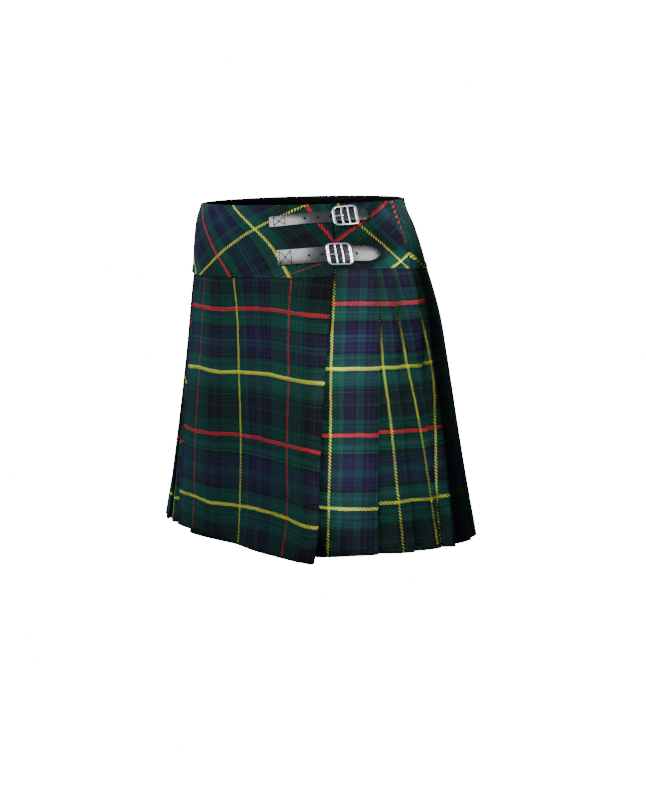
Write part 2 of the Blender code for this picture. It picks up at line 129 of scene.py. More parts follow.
def waist_height(angle):
    """Height of the waist edge, lower at the front and higher at the wearer's left."""
    turn = np.radians(angle)
    return WAIST_MEAN - WAIST_DIP * np.cos(turn) + WAIST_LEAN * np.sin(turn)


def form_oval(angle, height):
    """Point of the form at each angle and height, as X and Y."""
    half, ratio, shift, front, back = (
        smooth(-np.asarray(height), -SECTIONS[:, 0] * CM, column) for column in SECTIONS.T[1:])
    turn = np.radians(angle)
    sine, cosine = np.sin(turn), np.cos(turn)
    power = 2.0 / np.where(cosine > 0, front, back)
    x = half * CM * np.sign(sine) * np.abs(sine) ** power
    y = shift * CM - half * CM * ratio * np.sign(cosine) * np.abs(cosine) ** power
    return x, y


def on_form(angle, height, out):
    """Points at each angle and height, moved level out from the form by the distance out."""
    angle, height, out = np.broadcast_arrays(*(np.asarray(v, float) for v in (angle, height, out)))
    x, y = form_oval(angle, height)
    ahead, behind = form_oval(angle + 0.6, height), form_oval(angle - 0.6, height)
    along_x, along_y = ahead[0] - behind[0], ahead[1] - behind[1]
    length = np.hypot(along_x, along_y)
    return np.stack([x + out * along_y / length, y - out * along_x / length, height], -1)


@functools.lru_cache(maxsize=None)
def girth_table(height):
    """Distances round the form at a height, up to each of the table's angles."""
    x, y = form_oval(TABLE_ANGLES, np.full(TABLE_ANGLES.shape, height))
    return np.concatenate([[0.0], np.cumsum(np.hypot(np.diff(x), np.diff(y)))])


def distance_at(height, angle):
    """Distance round the form at a height, up to an angle."""
    return np.interp(angle, TABLE_ANGLES, girth_table(float(height)))


def angle_at(height, distance):
    """Angle reached at a distance round the form at a height."""
    return np.interp(distance, girth_table(float(height)), TABLE_ANGLES)


ANGLE_STEP, HEIGHT_STEP = 0.5, 0.5 * CM
TABLE_ANGLES = np.arange(-180.0, 540.1, ANGLE_STEP)
TABLE_HEIGHTS = np.arange(2.0, -41.6, -0.5) * CM
TABLE_ARCS = np.stack([girth_table(h) for h in TABLE_HEIGHTS])
TABLE_ARCS = TABLE_ARCS - TABLE_ARCS[:, TABLE_ANGLES == 0.0]


def arc_from_front(height, angle):
    """Distance round the form from centre front to an angle, at each height."""
    row = np.clip((TABLE_HEIGHTS[0] - height) / HEIGHT_STEP, 0.0, len(TABLE_HEIGHTS) - 1.001)
    column = np.clip((angle - TABLE_ANGLES[0]) / ANGLE_STEP, 0.0, len(TABLE_ANGLES) - 1.001)
    r, c = row.astype(int), column.astype(int)
    down, along = row - r, column - c
    above, below = (TABLE_ARCS[i, c] * (1 - along) + TABLE_ARCS[i, c + 1] * along for i in (r, r + 1))
    return above * (1 - down) + below * down


def mesh_of(name, points, faces):
    """A mesh over points."""
    mesh = bpy.data.meshes.new(name)
    mesh.from_pydata([tuple(p) for p in points], [], faces)
    mesh.update()
    return mesh


def ring_faces(count, size, start=0, loop=False):
    """Faces between rings of points, one ring after the other from a first point. A loop runs from
    its last ring back to its first, and otherwise a face closes each end."""
    faces = [tuple(start + n for n in (i * size + j, i * size + k, m * size + k, m * size + j))
             for i, m in ((i, (i + 1) % count) for i in range(count if loop else count - 1))
             for j, k in ((j, (j + 1) % size) for j in range(size))]
    if not loop:
        faces.append(tuple(range(start, start + size))[::-1])
        faces.append(tuple(range(start + (count - 1) * size, start + count * size)))
    return faces


def cloth_mesh(name, rows, left, right, closed):
    """A mesh over rows of points. Left and right hold the cloth's own places, in metres, at the
    left and right edge of each column of faces, so that a chart can start anew at a hidden fold."""
    count, across = rows.shape[:2]
    faces, places = [], []
    for r in range(count - 1):
        for c in range(across if closed else across - 1):
            here, beside = r * across + c, r * across + (c + 1) % across
            faces.append((here, here + across, beside + across, beside))
            places += [left[r, c], left[r + 1, c], right[r + 1, c], right[r, c]]
    mesh = mesh_of(name, rows.reshape(-1, 3), faces)
    chart = mesh.uv_layers.new(name="cloth")
    chart.data.foreach_set("uv", np.asarray(places, np.float32).ravel())
    return mesh


def dress(name, mesh, material, node=None):
    """Put a piece in the scene, on the skirt's one body, in place of a node of the solids."""
    piece = bpy.data.objects.new(name, mesh)
    bpy.context.scene.collection.objects.link(piece)
    mesh.materials.append(material)
    mesh.shade_smooth()
    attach(piece, "root")
    if node:
        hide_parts(node)
    return piece


def sew(name, node, rows, chart, material, wall, closed=False):
    """A piece of cloth of even thickness over rows of points."""
    rows = np.asarray(rows)
    left, right = chart if isinstance(chart, tuple) else (chart[:, :-1], chart[:, 1:])
    piece = dress(name, cloth_mesh(name, rows, left, right, closed), material, node)
    thickness = piece.modifiers.new("thickness", "SOLIDIFY")
    thickness.thickness, thickness.offset, thickness.use_even_offset = wall, 0.0, True
    if closed:
        rows = np.concatenate([rows, rows[:, :1]], 1)


# Lines of the apron: down-lines as shares of its width at shares of its length, and lines across
# as shares of its length at shares of its width. Even numbers are yellow lines, odd ones red.
APRON_DOWN_AT = (0.0, 0.12, 0.36, 0.60, 0.85, 1.0)
APRON_DOWN = {-1: (.146, .146, .148, .142, .155, .153), 0: (.402, .442, .487, .523, .531, .532),
              1: (.782, .785, .812, .826, .840, .828)}
APRON_ACROSS_AT = (0.0, 0.15, 0.30, 0.48, 0.69, 0.84, 0.95, 1.0)
APRON_ACROSS = {1: (.124, .125, .128, .119, .118, .131, .138, .140),
                0: (.371, .365, .370, .359, .354, .366, .373, .373),
                -1: (.610, .614, .609, .594, .592, .602, .610, .615),
                -2: (.868, .868, .873, .858, .848, .856, .873, .871)}
# Lines across the under apron and the pleats: heights in centimetres at angles round the body.
# The cloth was cut a little lower behind, so they sink towards the wearer's right.
ROUND_AT = (34.0, 45.0, 54.0, 64.0, 76.0, 89.0, 97.0, 130.0, 180.0, 240.0, 300.0)
ROUND_LINES = {2: (-3.1, -3.1, -3.1, -3.1, -3.1, -3.1, -3.2, -3.2, -4.2, -5.4, -6.4),
               1: (-10.55, -10.52, -10.5, -10.5, -10.6, -10.62, -10.67, -10.6, -11.6, -12.8, -13.9),
               0: (-18.1, -18.02, -17.95, -17.94, -17.93, -17.93, -17.8, -17.8, -18.9, -20.2, -21.4),
               -1: (-25.75, -25.62, -25.55, -25.5, -25.5, -25.6, -25.5, -25.5, -26.5, -27.7, -28.9),
               -2: (-33.9, -34.0, -33.9, -33.8, -33.65, -33.75, -33.7, -33.7, -34.4, -35.3, -36.1),
               -3: (-41.8, -41.9, -41.9, -41.8, -41.7, -41.7, -41.7, -41.7, -42.2, -42.9, -43.5)}
# Down-line of the under apron: heights and distances from centre front, in centimetres
UNDER_DOWN = np.array([(-6.6, 12.86), (-17.85, 12.84), (-26.1, 13.28), (-33.0, 13.64), (-39.5, 14.06)])
# Bias lines of the yokes: distances from centre front, in centimetres, at three heights
YOKE_LINE_HEIGHTS = (0.5, -3.5, -7.5)
FRONT_RISING = {1: (-10.5, -19.5, -28.0), 0: (8.7, 0.2, -7.0), -1: (26.0, 18.0, 7.0)}
FRONT_FALLING = {2: (-18.3, -14.5, -10.3), 1: (-9.3, -5.8, -1.9), 0: (-1.1, 4.7, 7.7),
                 -1: (9.4, 13.05, 16.3)}
UNDER_FALLING = {-1: (2.1, 7.15, 12.2), 0: (13.0, 18.05, 23.1), 1: (23.9, 28.95, 34.0)}
UNDER_RISING = {-1: (17.9, 12.7, 7.6), 0: (30.6, 25.0, 17.6)}
BACK_FALLING = {-1: (19.8, 21.8, 21.4), 0: (31.0, 34.0, 36.6), 1: (42.2, 45.8, 49.2), 2: (53.6, 57.4, 61.2)}
# The back's other line, from the side seam down and up again towards the back: distance, height
BACK_DIPPING = np.array([(19.0, -3.6), (22.5, -5.0), (26.5, -6.7), (30.0, -7.4), (34.0, -6.4),
                         (38.0, -3.6), (42.0, -0.1), (46.0, 3.8), (50.0, 7.8)])
BACK_LINE_DROP = 10.0


def count_lines(at, lines, lines_at, along):
    """How many line spacings a point lies from yellow line 0, with the lines of one direction
    given as places at points along them."""
    numbers = sorted(lines, key=lambda number: lines[number][0])
    places = np.stack([smooth(along, lines_at, lines[number]) for number in numbers])
    return smooth(at, places, np.array(numbers, float))


def apron_chart(across, part):
    """The apron cloth's own places at shares of its width and length."""
    u = count_lines(across, APRON_DOWN, APRON_DOWN_AT, part)
    v = count_lines(part, APRON_ACROSS, APRON_ACROSS_AT, np.clip(across, -0.05, 1.05))
    return np.stack([u, v], -1) * STRIPE_SPACING


def height_lines(angle, height):
    """Line spacings above yellow line 0 on the cloth that hangs round the body."""
    depths = {number: -np.array(places) for number, places in ROUND_LINES.items()}
    return count_lines(-height / CM, depths, ROUND_AT, np.clip(angle, 34.0, 323.0))


def bias_lines(lines, angles, heights):
    """Line spacings from the yellow line of one direction on a bias-cut piece of the yoke."""
    return count_lines(arc_from_front(heights, angles) / CM, lines, [-h for h in YOKE_LINE_HEIGHTS],
                       -heights / CM)


def bias_chart(warp_lines, weft_lines, angles, heights):
    """Places on the cloth of the front or the under yoke."""
    return np.stack([bias_lines(lines, angles, heights) for lines in (warp_lines, weft_lines)],
                    -1) * STRIPE_SPACING


# The front yoke's weft lines fall to the right, and the under yoke's rise
front_yoke_chart = functools.partial(bias_chart, FRONT_RISING, FRONT_FALLING)
under_yoke_chart = functools.partial(bias_chart, UNDER_FALLING, UNDER_RISING)


def back_yoke_chart(angles, heights):
    """Places on the back yoke's cloth, whose weft lines dip at the side seam."""
    dip = smooth(arc_from_front(heights, angles) / CM, BACK_DIPPING[:, 0], BACK_DIPPING[:, 1])
    return np.stack([bias_lines(BACK_FALLING, angles, heights),
                     (dip - heights / CM) / BACK_LINE_DROP], -1) * STRIPE_SPACING


# Materials

def linear(code, alpha=1.0):
    """A colour from its sRGB hex value."""
    channels = [int(code[i:i + 2], 16) / 255 for i in (1, 3, 5)]
    return (*(c / 12.92 if c <= 0.04045 else ((c + 0.055) / 1.055) ** 2.4 for c in channels), alpha)


def add(material, kind, inputs=(), give=0, **settings):
    """Add a node with its settings and links, and give one of its outputs. The inputs are a list, or
    go by name or number, and each is a value or another node's output."""
    tree = material.node_tree
    new = tree.nodes.new("ShaderNode" + kind)
    for name, value in settings.items():
        setattr(new, name, value)
    for key, value in inputs.items() if isinstance(inputs, dict) else enumerate(inputs):
        if isinstance(value, bpy.types.NodeSocket):
            tree.links.new(value, new.inputs[key])
        else:
            new.inputs[key].default_value = value
    return new.outputs[give]


def start_material(name):
    """A new material, its shader, and the function that adds its nodes."""
    material = bpy.data.materials.new(name)
    material.use_nodes = True
    return material, material.node_tree.nodes["Principled BSDF"], functools.partial(add, material)


def finish_surface(material, shader, colour, rough, relief, values):
    """Wire a surface's colour, roughness and relief, and set its even values. The relief is its
    height, how strongly it shows and how deep it is."""
    height, strength, depth = relief
    bump = add(material, "Bump", {"Height": height, "Strength": strength, "Distance": depth})
    for key, output in (("Base Color", colour), ("Roughness", rough), ("Normal", bump)):
        material.node_tree.links.new(output, shader.inputs[key])
    for key, value in values.items():
        shader.inputs[key].default_value = value
    return material


# Wool yarns, dyed, as they look once spun
YARN = {
    "green": "#1c4a43", "deep green": "#143a33", "navy": "#25213e", "teal": "#253948",
    "black": "#1c1c23", "grey line": "#1f2e30", "red": "#c4303c", "yellow": "#dfe24a",
}
# Order of the yarns over two stripe spacings, from the middle of a yellow line: where each starts,
# in stripe spacings. The warp's yellow and red lines are narrower than the weft's.
WARP_SETT = (
    (0.000, "yellow"), (0.0245, "deep green"), (0.120, "green"), (0.180, "navy"), (0.390, "teal"),
    (0.500, "navy"), (0.690, "green"), (0.985, "red"), (1.015, "green"), (1.225, "deep green"),
    (1.300, "black"), (1.385, "grey line"), (1.410, "black"), (1.440, "grey line"),
    (1.465, "black"), (1.620, "deep green"), (1.986, "yellow"),
)
WEFT_SETT = (
    (0.000, "yellow"), (0.031, "green"), (0.225, "black"), (0.265, "navy"), (0.410, "teal"),
    (0.525, "navy"), (0.700, "black"), (0.740, "green"), (0.890, "deep green"), (0.976, "red"),
    (1.024, "deep green"), (1.235, "black"), (1.445, "grey line"), (1.475, "black"),
    (1.635, "grey line"), (1.660, "black"), (1.700, "deep green"), (1.740, "green"),
    (1.974, "yellow"),
)
WARP_THREAD, WEFT_THREAD = 1.0 * MM, 0.9 * MM
THREAD_DRIFT = 1.4 * MM
# Share of the face that the warp's threads cover, and how much more of it a line's yarn takes
WARP_SHARE, WARP_LINE_MORE, WEFT_LINE_MORE = 0.42, 0.10, 0.14


def wool_tartan():
    """Worsted wool tartan in a two-and-two twill.

    Each thread passes over two and under two, one thread further on each row, so every colour is
    half hidden by the one that crosses it, in short slanting strokes. Wool scatters light: matt,
    with a faint pale nap at grazing angles. The real twill has about 20 threads to the centimetre;
    it is drawn with 10 or 11, so that the strokes show as they do in the photo.
    """
    wool, shader, node = start_material("wool_tartan_twill")
    place = node("UVMap", uv_map="cloth")
    # Threads never lie quite straight: a slow drift of up to half a millimetre
    drift = node("TexNoise", {"Vector": place, "Scale": 60.0, "Detail": 2.0}, "Color", noise_dimensions="2D")
    drift = node("VectorMath", [drift, (0.5, 0.5, 0.5)], operation="SUBTRACT")
    place = node("VectorMath", [drift, (THREAD_DRIFT,) * 3, place], operation="MULTIPLY_ADD")
    yarns, threads, crowns, thick = [], [], [], []
    for axis, thread, order in (("X", WARP_THREAD, WARP_SETT), ("Y", WEFT_THREAD, WEFT_SETT)):
        count = node("SeparateXYZ", [place], axis)
        count = node("Math", [count, thread], operation="DIVIDE")
        number = node("Math", [count], operation="FLOOR")
        repeat = node("Math", [number, 0.5], operation="ADD")
        repeat = node("Math", [repeat, thread / (2 * STRIPE_SPACING)], operation="MULTIPLY")
        repeat = node("Math", [repeat], operation="FRACT")
        dyed = node("ValToRGB", [repeat])
        ramp = dyed.node.color_ramp
        ramp.interpolation = "CONSTANT"
        while len(ramp.elements) < len(order):
            ramp.elements.new(0.5)
        for element, (start, yarn) in zip(ramp.elements, order):
            element.position = start / 2
            # The fourth value marks the yarns of the lines, which are spun thicker than the ground's
            element.color = linear(YARN[yarn], float(yarn in ("red", "yellow")))
        # Yarn is spun unevenly, so each thread is a little lighter or darker than the next
        shade = node("TexWhiteNoise", {"W": number}, noise_dimensions="1D")
        shade = node("MapRange", {0: shade, 3: 0.80, 4: 1.20})
        # and the dye takes unevenly from bobbin to bobbin, in streaks a few threads wide
        streak = node("TexNoise", {"W": number, "Scale": 0.31, "Detail": 1.0}, noise_dimensions="1D")
        streak = node("MapRange", [streak, 0.3, 0.7, 0.74, 1.26])
        shade = node("Math", [shade, streak], operation="MULTIPLY")
        yarns.append(node("Mix", {0: 1.0, 6: dyed, 7: shade}, 2, data_type="RGBA", blend_type="MULTIPLY"))
        across = node("Math", [count], operation="FRACT")
        across = node("Math", [across, math.pi], operation="MULTIPLY")
        crowns.append(node("Math", [across], operation="SINE"))
        threads.append(count)
        thick.append(dyed.node.outputs[1])
    slant = node("Math", [threads[0], threads[1]], operation="ADD")
    slant = node("Math", [slant, 0.25], operation="MULTIPLY")
    slant = node("Math", [slant], operation="FRACT")
    share = node("Math", [thick[0], WARP_LINE_MORE, WARP_SHARE], operation="MULTIPLY_ADD")
    share = node("Math", [thick[1], -WEFT_LINE_MORE, share], operation="MULTIPLY_ADD")
    warp_up = node("Math", [slant, share], operation="LESS_THAN")
    # The ground's fine yarns nap together and blend, while the thick ones stand in clear strokes
    clear = node("Math", [thick[0], thick[1]], operation="MAXIMUM")
    clear = node("MapRange", {0: clear, 3: 0.38, 4: 1.0})
    warp_seen = node("Mix", {0: clear, 2: WARP_SHARE, 3: warp_up})
    colour = node("Mix", {0: warp_seen, 6: yarns[1], 7: yarns[0]}, 2, data_type="RGBA")
    # Cloth that has hung and been pressed is unevenly worn and napped over a few centimetres
    worn = node("TexNoise", {"Vector": place, "Scale": 24.0, "Detail": 4.0, "Roughness": 0.6})
    worn = node("MapRange", [worn, 0.25, 0.75, 0.86, 1.14])
    fibre = node("TexNoise", {"Vector": place, "Scale": 2600.0, "Detail": 2.0})
    fibre = node("MapRange", [fibre, 0.3, 0.7, 0.85, 1.15])
    tone = node("Math", [worn, fibre], operation="MULTIPLY")
    colour = node("Mix", {0: 1.0, 6: colour, 7: tone}, 2, data_type="RGBA", blend_type="MULTIPLY")
    # Relief: the round back of each thread, the step where it dives under, and the loose fibres
    crown = node("Mix", {0: warp_up, 2: crowns[1], 3: crowns[0]})
    stroke = node("Math", [slant, 4.0], operation="PINGPONG")
    lift = node("Math", [fibre, 0.35, crown], operation="MULTIPLY_ADD")
    lift = node("Math", [stroke, 0.5, lift], operation="MULTIPLY_ADD")
    rough = node("MapRange", [fibre, 0.85, 1.15, 0.78, 0.92])
    return finish_surface(wool, shader, colour, rough, (lift, 0.35, 0.25 * MM), {
        "Specular IOR Level": 0.03, "Sheen Weight": 0.02, "Sheen Roughness": 0.45,
        "Sheen Tint": linear("#b9c4c4")})


def black_lining():
    """Plain-woven acetate lining, black. Fine smooth threads give it a dull, even gleam.

    The real weave has 40 threads to the centimetre; it is drawn with 12, to show close up.
    """
    lining, shader, node = start_material("black_acetate_lining")
    place = node("UVMap", uv_map="cloth")
    weave = node("VectorMath", [place, (1 / (0.8 * MM),) * 3], operation="MULTIPLY")
    check = node("TexChecker", {"Vector": weave, "Scale": 1.0, "Color1": linear("#08090a"),
                               "Color2": linear("#050506")})
    crease = node("TexNoise", {"Vector": place, "Scale": 40.0, "Detail": 3.0})
    lift = node("Math", [check.node.outputs[1], 0.3, crease], operation="MULTIPLY_ADD")
    rough = node("MapRange", {0: crease, 3: 0.45, 4: 0.65})
    return finish_surface(lining, shader, check, rough, (lift, 0.3, 0.3 * MM), {"Specular IOR Level": 0.04})


def strap_leather():
    """Cowhide dyed black, waxed and rolled flat, as used for bridles.

    The wax fills the grain, so it shines softly and pale under a broad light, over a fine pebble
    of about a millimetre and wider, shallow swells.
    """
    leather, shader, node = start_material("black_bridle_leather")
    place = node("TexCoord", give="Object")
    pebble = node("TexVoronoi", {"Vector": place, "Scale": 1 / (0.9 * MM), "Randomness": 0.9})
    swells = node("TexNoise", {"Vector": place, "Scale": 1 / (3.5 * MM), "Detail": 2.0,
                               "Roughness": 0.5})
    clouds = node("TexNoise", {"Vector": place, "Scale": 60.0, "Detail": 3.0})
    colour = node("Mix", {0: clouds, 6: linear("#191a1d"), 7: linear("#26272b")}, 2, data_type="RGBA")
    rough = node("MapRange", [swells, 0.3, 0.7, 0.24, 0.29])
    lift = node("Math", [pebble, 0.5, swells], operation="MULTIPLY_ADD")
    return finish_surface(leather, shader, colour, rough, (lift, 0.015, 0.12 * MM), {"IOR": 1.52})


def chrome_plate():
    """Die-cast zinc, polished and chrome plated: a bright mirror, very slightly blue.

    Wear leaves a faint haze and hair scratches.
    """
    chrome, shader, node = start_material("polished_chrome_plate")
    place = node("TexCoord", give="Object")
    haze = node("TexNoise", {"Vector": place, "Scale": 400.0, "Detail": 4.0})
    drawn = node("Mapping", {"Vector": place, "Scale": (900.0, 900.0, 5000.0)})
    hairs = node("TexNoise", {"Vector": drawn, "Scale": 1.0, "Detail": 3.0})
    rough = node("MapRange", [haze, 0.3, 0.7, 0.09, 0.20])
    colour = node("Mix", {0: haze, 6: linear("#bcbec3"), 7: linear("#cdced1")}, 2, data_type="RGBA")
    return finish_surface(chrome, shader, colour, rough, (hairs, 0.06, 0.05 * MM), {"Metallic": 1.0})


def waxed_thread():
    """Black waxed linen sewing thread of three plies, laid in short stitches with a dull shine."""
    thread, shader, node = start_material("waxed_linen_thread")
    place = node("TexCoord", give="Object")
    plies = node("TexWave", {"Vector": place, "Scale": 900.0, "Distortion": 1.0}, 1)
    colour = node("Mix", {0: plies, 6: linear("#08090a"), 7: linear("#121315")}, 2, data_type="RGBA")
    rough = node("MapRange", {0: plies, 3: 0.6, 4: 0.45})
    return finish_surface(thread, shader, colour, rough, (plies, 0.3, 0.08 * MM),
                          {"Specular IOR Level": 0.12})


TARTAN, LINING, LEATHER, CHROME, THREAD = (
    wool_tartan(), black_lining(), strap_leather(), chrome_plate(), waxed_thread())


# The yoke

# The front yoke rises on to the under yoke over some degrees, past the latter's end
YOKE_RAMP, YOKE_RAMP_CLEAR = 18.0, 4.0
# The roll at the waist and the turned edge at the seam go down inside by these depths
WAIST_HEM, WAIST_HEM_TOP, SEAM_TURN = 9.0 * MM, 4.0 * MM, 3.0 * MM
# The bottom edge of the yoke stands out a little, over the cloth that hangs from it
SEAM_FLARE, SEAM_FLARE_HEIGHT, SEAM_FLARE_FADE = 1.0 * MM, 9.0 * MM, 8.0
LINING_BOTTOM, LINING_RISE, LINING_PUCKER, LINING_INSET = -6.2 * CM, 0.75 * MM, 0.12 * MM, 0.9 * MM


def under_yoke_out(angles):
    """Distance out of the under and back yokes, the same all round."""
    return np.full(angles.shape, UNDER_YOKE_OUT)


def front_yoke_out(angles):
    """Distance out of the front yoke, round the body."""
    over = (angles - UNDER_YOKE_INNER_END[0, 1] + YOKE_RAMP_CLEAR + YOKE_RAMP) / YOKE_RAMP
    over = np.clip(over, 0.0, 1.0)
    return UNDER_YOKE_OUT + (FRONT_YOKE_OUT - UNDER_YOKE_OUT) * over * over * (3 - 2 * over)


def sew_yoke(name, start_edge, end_edge, seam, out_of, columns, chart_of, flare_from):
    """A bias-cut piece of the yoke, rolled over at the waist and turned under at its seam."""
    turn = np.radians(np.linspace(150.0, 0.0, 6))
    # Each row: 0 at the waist and 1 at the seam, then distances up from there and out
    rows = [(0.0, -WAIST_HEM, -EDGE_ROLL), (0.0, -WAIST_HEM_TOP, -EDGE_ROLL)]
    rows += [(0.0, EDGE_ROLL * (math.sin(t) - 1.0), EDGE_ROLL * math.cos(t)) for t in turn[:-1]]
    rows += [(part, 0.0, EDGE_ROLL) for part in np.linspace(0.015, 0.985, 19)]
    rows += [(1.0, -EDGE_ROLL * math.sin(t), EDGE_ROLL * math.cos(t)) for t in turn[::-1]]
    rows += [(1.0, SEAM_TURN, -EDGE_ROLL)]
    points, charts = [], []
    across = np.linspace(0.0, 1.0, columns)
    for part, up, out in rows:
        # The side edges are read at the yoke's nominal heights, from 1 cm above the form's waist down
        middle = (1.0 - part * 8.0) * CM
        angles = angle_on(start_edge, middle) * (1 - across) + angle_on(end_edge, middle) * across
        high, low = waist_height(angles), height_on(seam, angles)
        heights = high + (low - high) * part + up
        flare = SEAM_FLARE * np.clip(1.0 - (heights - low) / SEAM_FLARE_HEIGHT, 0.0, 1.0) ** 1.5
        flare = flare * np.clip((angles - flare_from) / SEAM_FLARE_FADE, 0.0, 1.0)
        points.append(on_form(angles, heights, out_of(angles) + out + flare))
        # The turned cloth's pattern runs on from the edge
        laid = heights if out > 0 else 2 * (high if part < 0.5 else low) - heights
        charts.append(chart_of(angles, laid))
    sew(name + "_cloth", name, points, np.array(charts), TARTAN, YOKE_CLOTH)


def sew_lining():
    """The black lining inside the yoke, all round."""
    angles = np.linspace(0.0, 360.0, 145)[:-1]
    rows, charts = [], []
    for part in np.concatenate([[0.0, 0.01, 0.03], np.linspace(0.06, 1.0, 12)]):
        top = waist_height(angles) + LINING_RISE
        heights = top + part * (LINING_BOTTOM - top)
        pucker = LINING_PUCKER * np.sin(np.radians(angles * 31)) * part
        # The top is sewn to the yoke's rolled edge, so the lining leans out to it
        lean = (UNDER_YOKE_OUT - LINING_INSET - LINING_OUT) * max(0.0, 1.0 - part / 0.06) ** 2
        rows.append(on_form(angles, heights, LINING_OUT + pucker + lean))
        charts.append(np.stack([arc_from_front(heights, angles), heights], -1))
    charts = np.array(charts)
    right = np.roll(charts, -1, axis=1)
    right[:, -1, 0] += arc_from_front(rows[6][:, 2], np.full(len(angles), 360.0))[0]
    sew("lining_cloth", "yoke_lining", rows, (charts, right), LINING, LINING_CLOTH,
        closed=True)


def sew_yokes():
    """The three pieces of the hip yoke and their lining."""
    gap, everywhere = (0, 0.05), -360.0
    sew_yoke("yoke_under", UNDER_YOKE_INNER_END, LEFT_SIDE_SEAM - gap, UNDER_SEAM, under_yoke_out,
             96, under_yoke_chart, 50.0)
    sew_yoke("yoke_back", LEFT_SIDE_SEAM + gap, RIGHT_SIDE_SEAM - gap, UNDER_SEAM, under_yoke_out,
             110, back_yoke_chart, everywhere)
    sew_yoke("yoke_front", RIGHT_SIDE_SEAM + gap - (0, 360), FRONT_YOKE_EDGE, FRONT_SEAM, front_yoke_out,
             96, front_yoke_chart, everywhere)
    sew_lining()


# The pleated length and the under apron

# How far each fold edge lies from an even spacing, from the first fold round to the apron, in
# millimetres at the seam, at a third and three fifths of the length and at the hem, or at the seam
# and the hem
FOLD_SHIFT = (
    (0, 0), (-3, -4, 1, 8), (8, 3, 5, 10.5), (-6, -10, -4, -5), (2, 4), (0, 0), (-1, -1), (1, 1), (0, 2),
    (-1, -1), (1, 0), (0, -2), (-1, 1), (1, 2), (0, 0), (-1, -2), (1, 1), (0, 0), (0, 1), (-1, -1),
    (0, 1), (1, -1), (0, 0), (0, 0), (0, 0))
# Where the yellow line lies on each pleat's face, as a share of its width at shares of its length
STRIPE_AT = (0.0, 0.12, 0.35, 0.55, 0.8, 1.0)
STRIPE_ON_FACE = (
    (-0.30, -0.10, 0.18, 0.46, 0.60, 0.66), (-0.22, -0.04, 0.33, 0.62, 0.80, 0.87),
    (-0.16, 0.00, 0.80, 0.60, 0.31, 0.15), (1.15, 1.15, 1.15, 1.15, 1.15, 1.15),
    (0.22, 0.28, 0.38, 0.46, 0.55, 0.60), (0.18, 0.22, 0.30, 0.40, 0.52, 0.58),
    (0.25, 0.30, 0.36, 0.42, 0.50, 0.62), (0.20, 0.26, 0.38, 0.48, 0.52, 0.55),
    (0.28, 0.30, 0.34, 0.40, 0.48, 0.54), (0.22, 0.26, 0.36, 0.46, 0.56, 0.64),
    (0.30, 0.32, 0.36, 0.40, 0.46, 0.52), (0.24, 0.28, 0.34, 0.44, 0.54, 0.60),
    (0.20, 0.26, 0.34, 0.42, 0.48, 0.50), (0.26, 0.30, 0.38, 0.46, 0.52, 0.58),
    (0.30, 0.32, 0.36, 0.44, 0.54, 0.62), (0.22, 0.26, 0.32, 0.40, 0.48, 0.55),
    (0.26, 0.30, 0.36, 0.42, 0.50, 0.52), (0.20, 0.24, 0.34, 0.46, 0.56, 0.62),
    (0.28, 0.30, 0.34, 0.40, 0.46, 0.50), (0.24, 0.28, 0.38, 0.48, 0.56, 0.60),
    (0.22, 0.26, 0.32, 0.38, 0.44, 0.50), (0.28, 0.32, 0.38, 0.44, 0.52, 0.58),
    (0.24, 0.28, 0.34, 0.42, 0.50, 0.55), (0.26, 0.30, 0.36, 0.42, 0.48, 0.52),
)
# How far the cloth of each pleat is out of line, in millimetres
LINE_STEP = (0.0, 0.0, -1.0, -0.5, 1.0, 0.0, -1.5, 0.5, 1.0, -0.5, 0.0, 1.5, -1.0, 0.5, 0.0, -1.5,
             1.0, 0.0, -0.5, 1.0, -1.0, 0.5, 0.0, 1.0)
# How far each fold stands open at the hem, in millimetres, and the pleat that stands open from the
# seam down, where the others open only towards the hem
FOLD_OPEN = (0.6, 1.2, 6.5, 2.0, 1.8, 0.8, 1.4, 1.0, 2.0, 1.2, 0.7, 1.6, 1.1, 1.9, 0.9, 1.5, 1.2, 0.8,
             1.4, 1.0, 0.8, 0.5, 0.0, 0.0)
OPENS_EARLY = 2
PLEAT_PIECES = (("pleats_left", 0, 6), ("pleats_back_left", 6, 12),
                ("pleats_back_right", 12, 18), ("pleats_right", 18, 24))
# Rows of the hung cloth as shares of its length: two just above its seam, the others below
HUNG_PARTS = np.concatenate([[-0.006, -0.003], np.linspace(0.0, 1.0, 52)])
# How far the hidden layers end short, how far the last one runs on under the apron, and how far each
# fold keeps clear of the next pleat's edge
LAYER_END, RUN_ON, FOLD_CLEAR = 0.8 * MM, 12.0 * MM, 0.5 * MM
# The depth over which the layers spread again below the seam that holds them together, and how far
# above it that starts, for the pleats and for the apron
TUCK_FADE, TUCK_HOLD, APRON_TUCK_HOLD = 4.5 * MM, 2.0 * MM, 1.5 * MM
# The pleats were folded with their stripes a little higher than the under apron's, in millimetres
STRIPES_RAISED = 4.5
# The under apron: its hidden end beyond the apron's left edge, its swell over the first pleat at
# shares of a pleat's width before the fold, its wave, and how much lower its hem is at the hidden end
UNDER_INNER, UNDER_WAVE, UNDER_WAVE_LENGTH, UNDER_DROP = 28.0 * MM, 0.5 * MM, 21.0 * MM, 6.5 * MM
UNDER_RISE = np.array([(0.0, 1.0), (0.3, 0.96), (0.55, 0.45), (0.9, 0.0)])


def layer_step(part):
    """Distance between the folded layers of a pleat, from the seam (0) to the hem (1)."""
    return LAYER_STEP_AT_SEAM + (LAYER_STEP_AT_HEM - LAYER_STEP_AT_SEAM) * min(max(part, 0.0), 1.0)


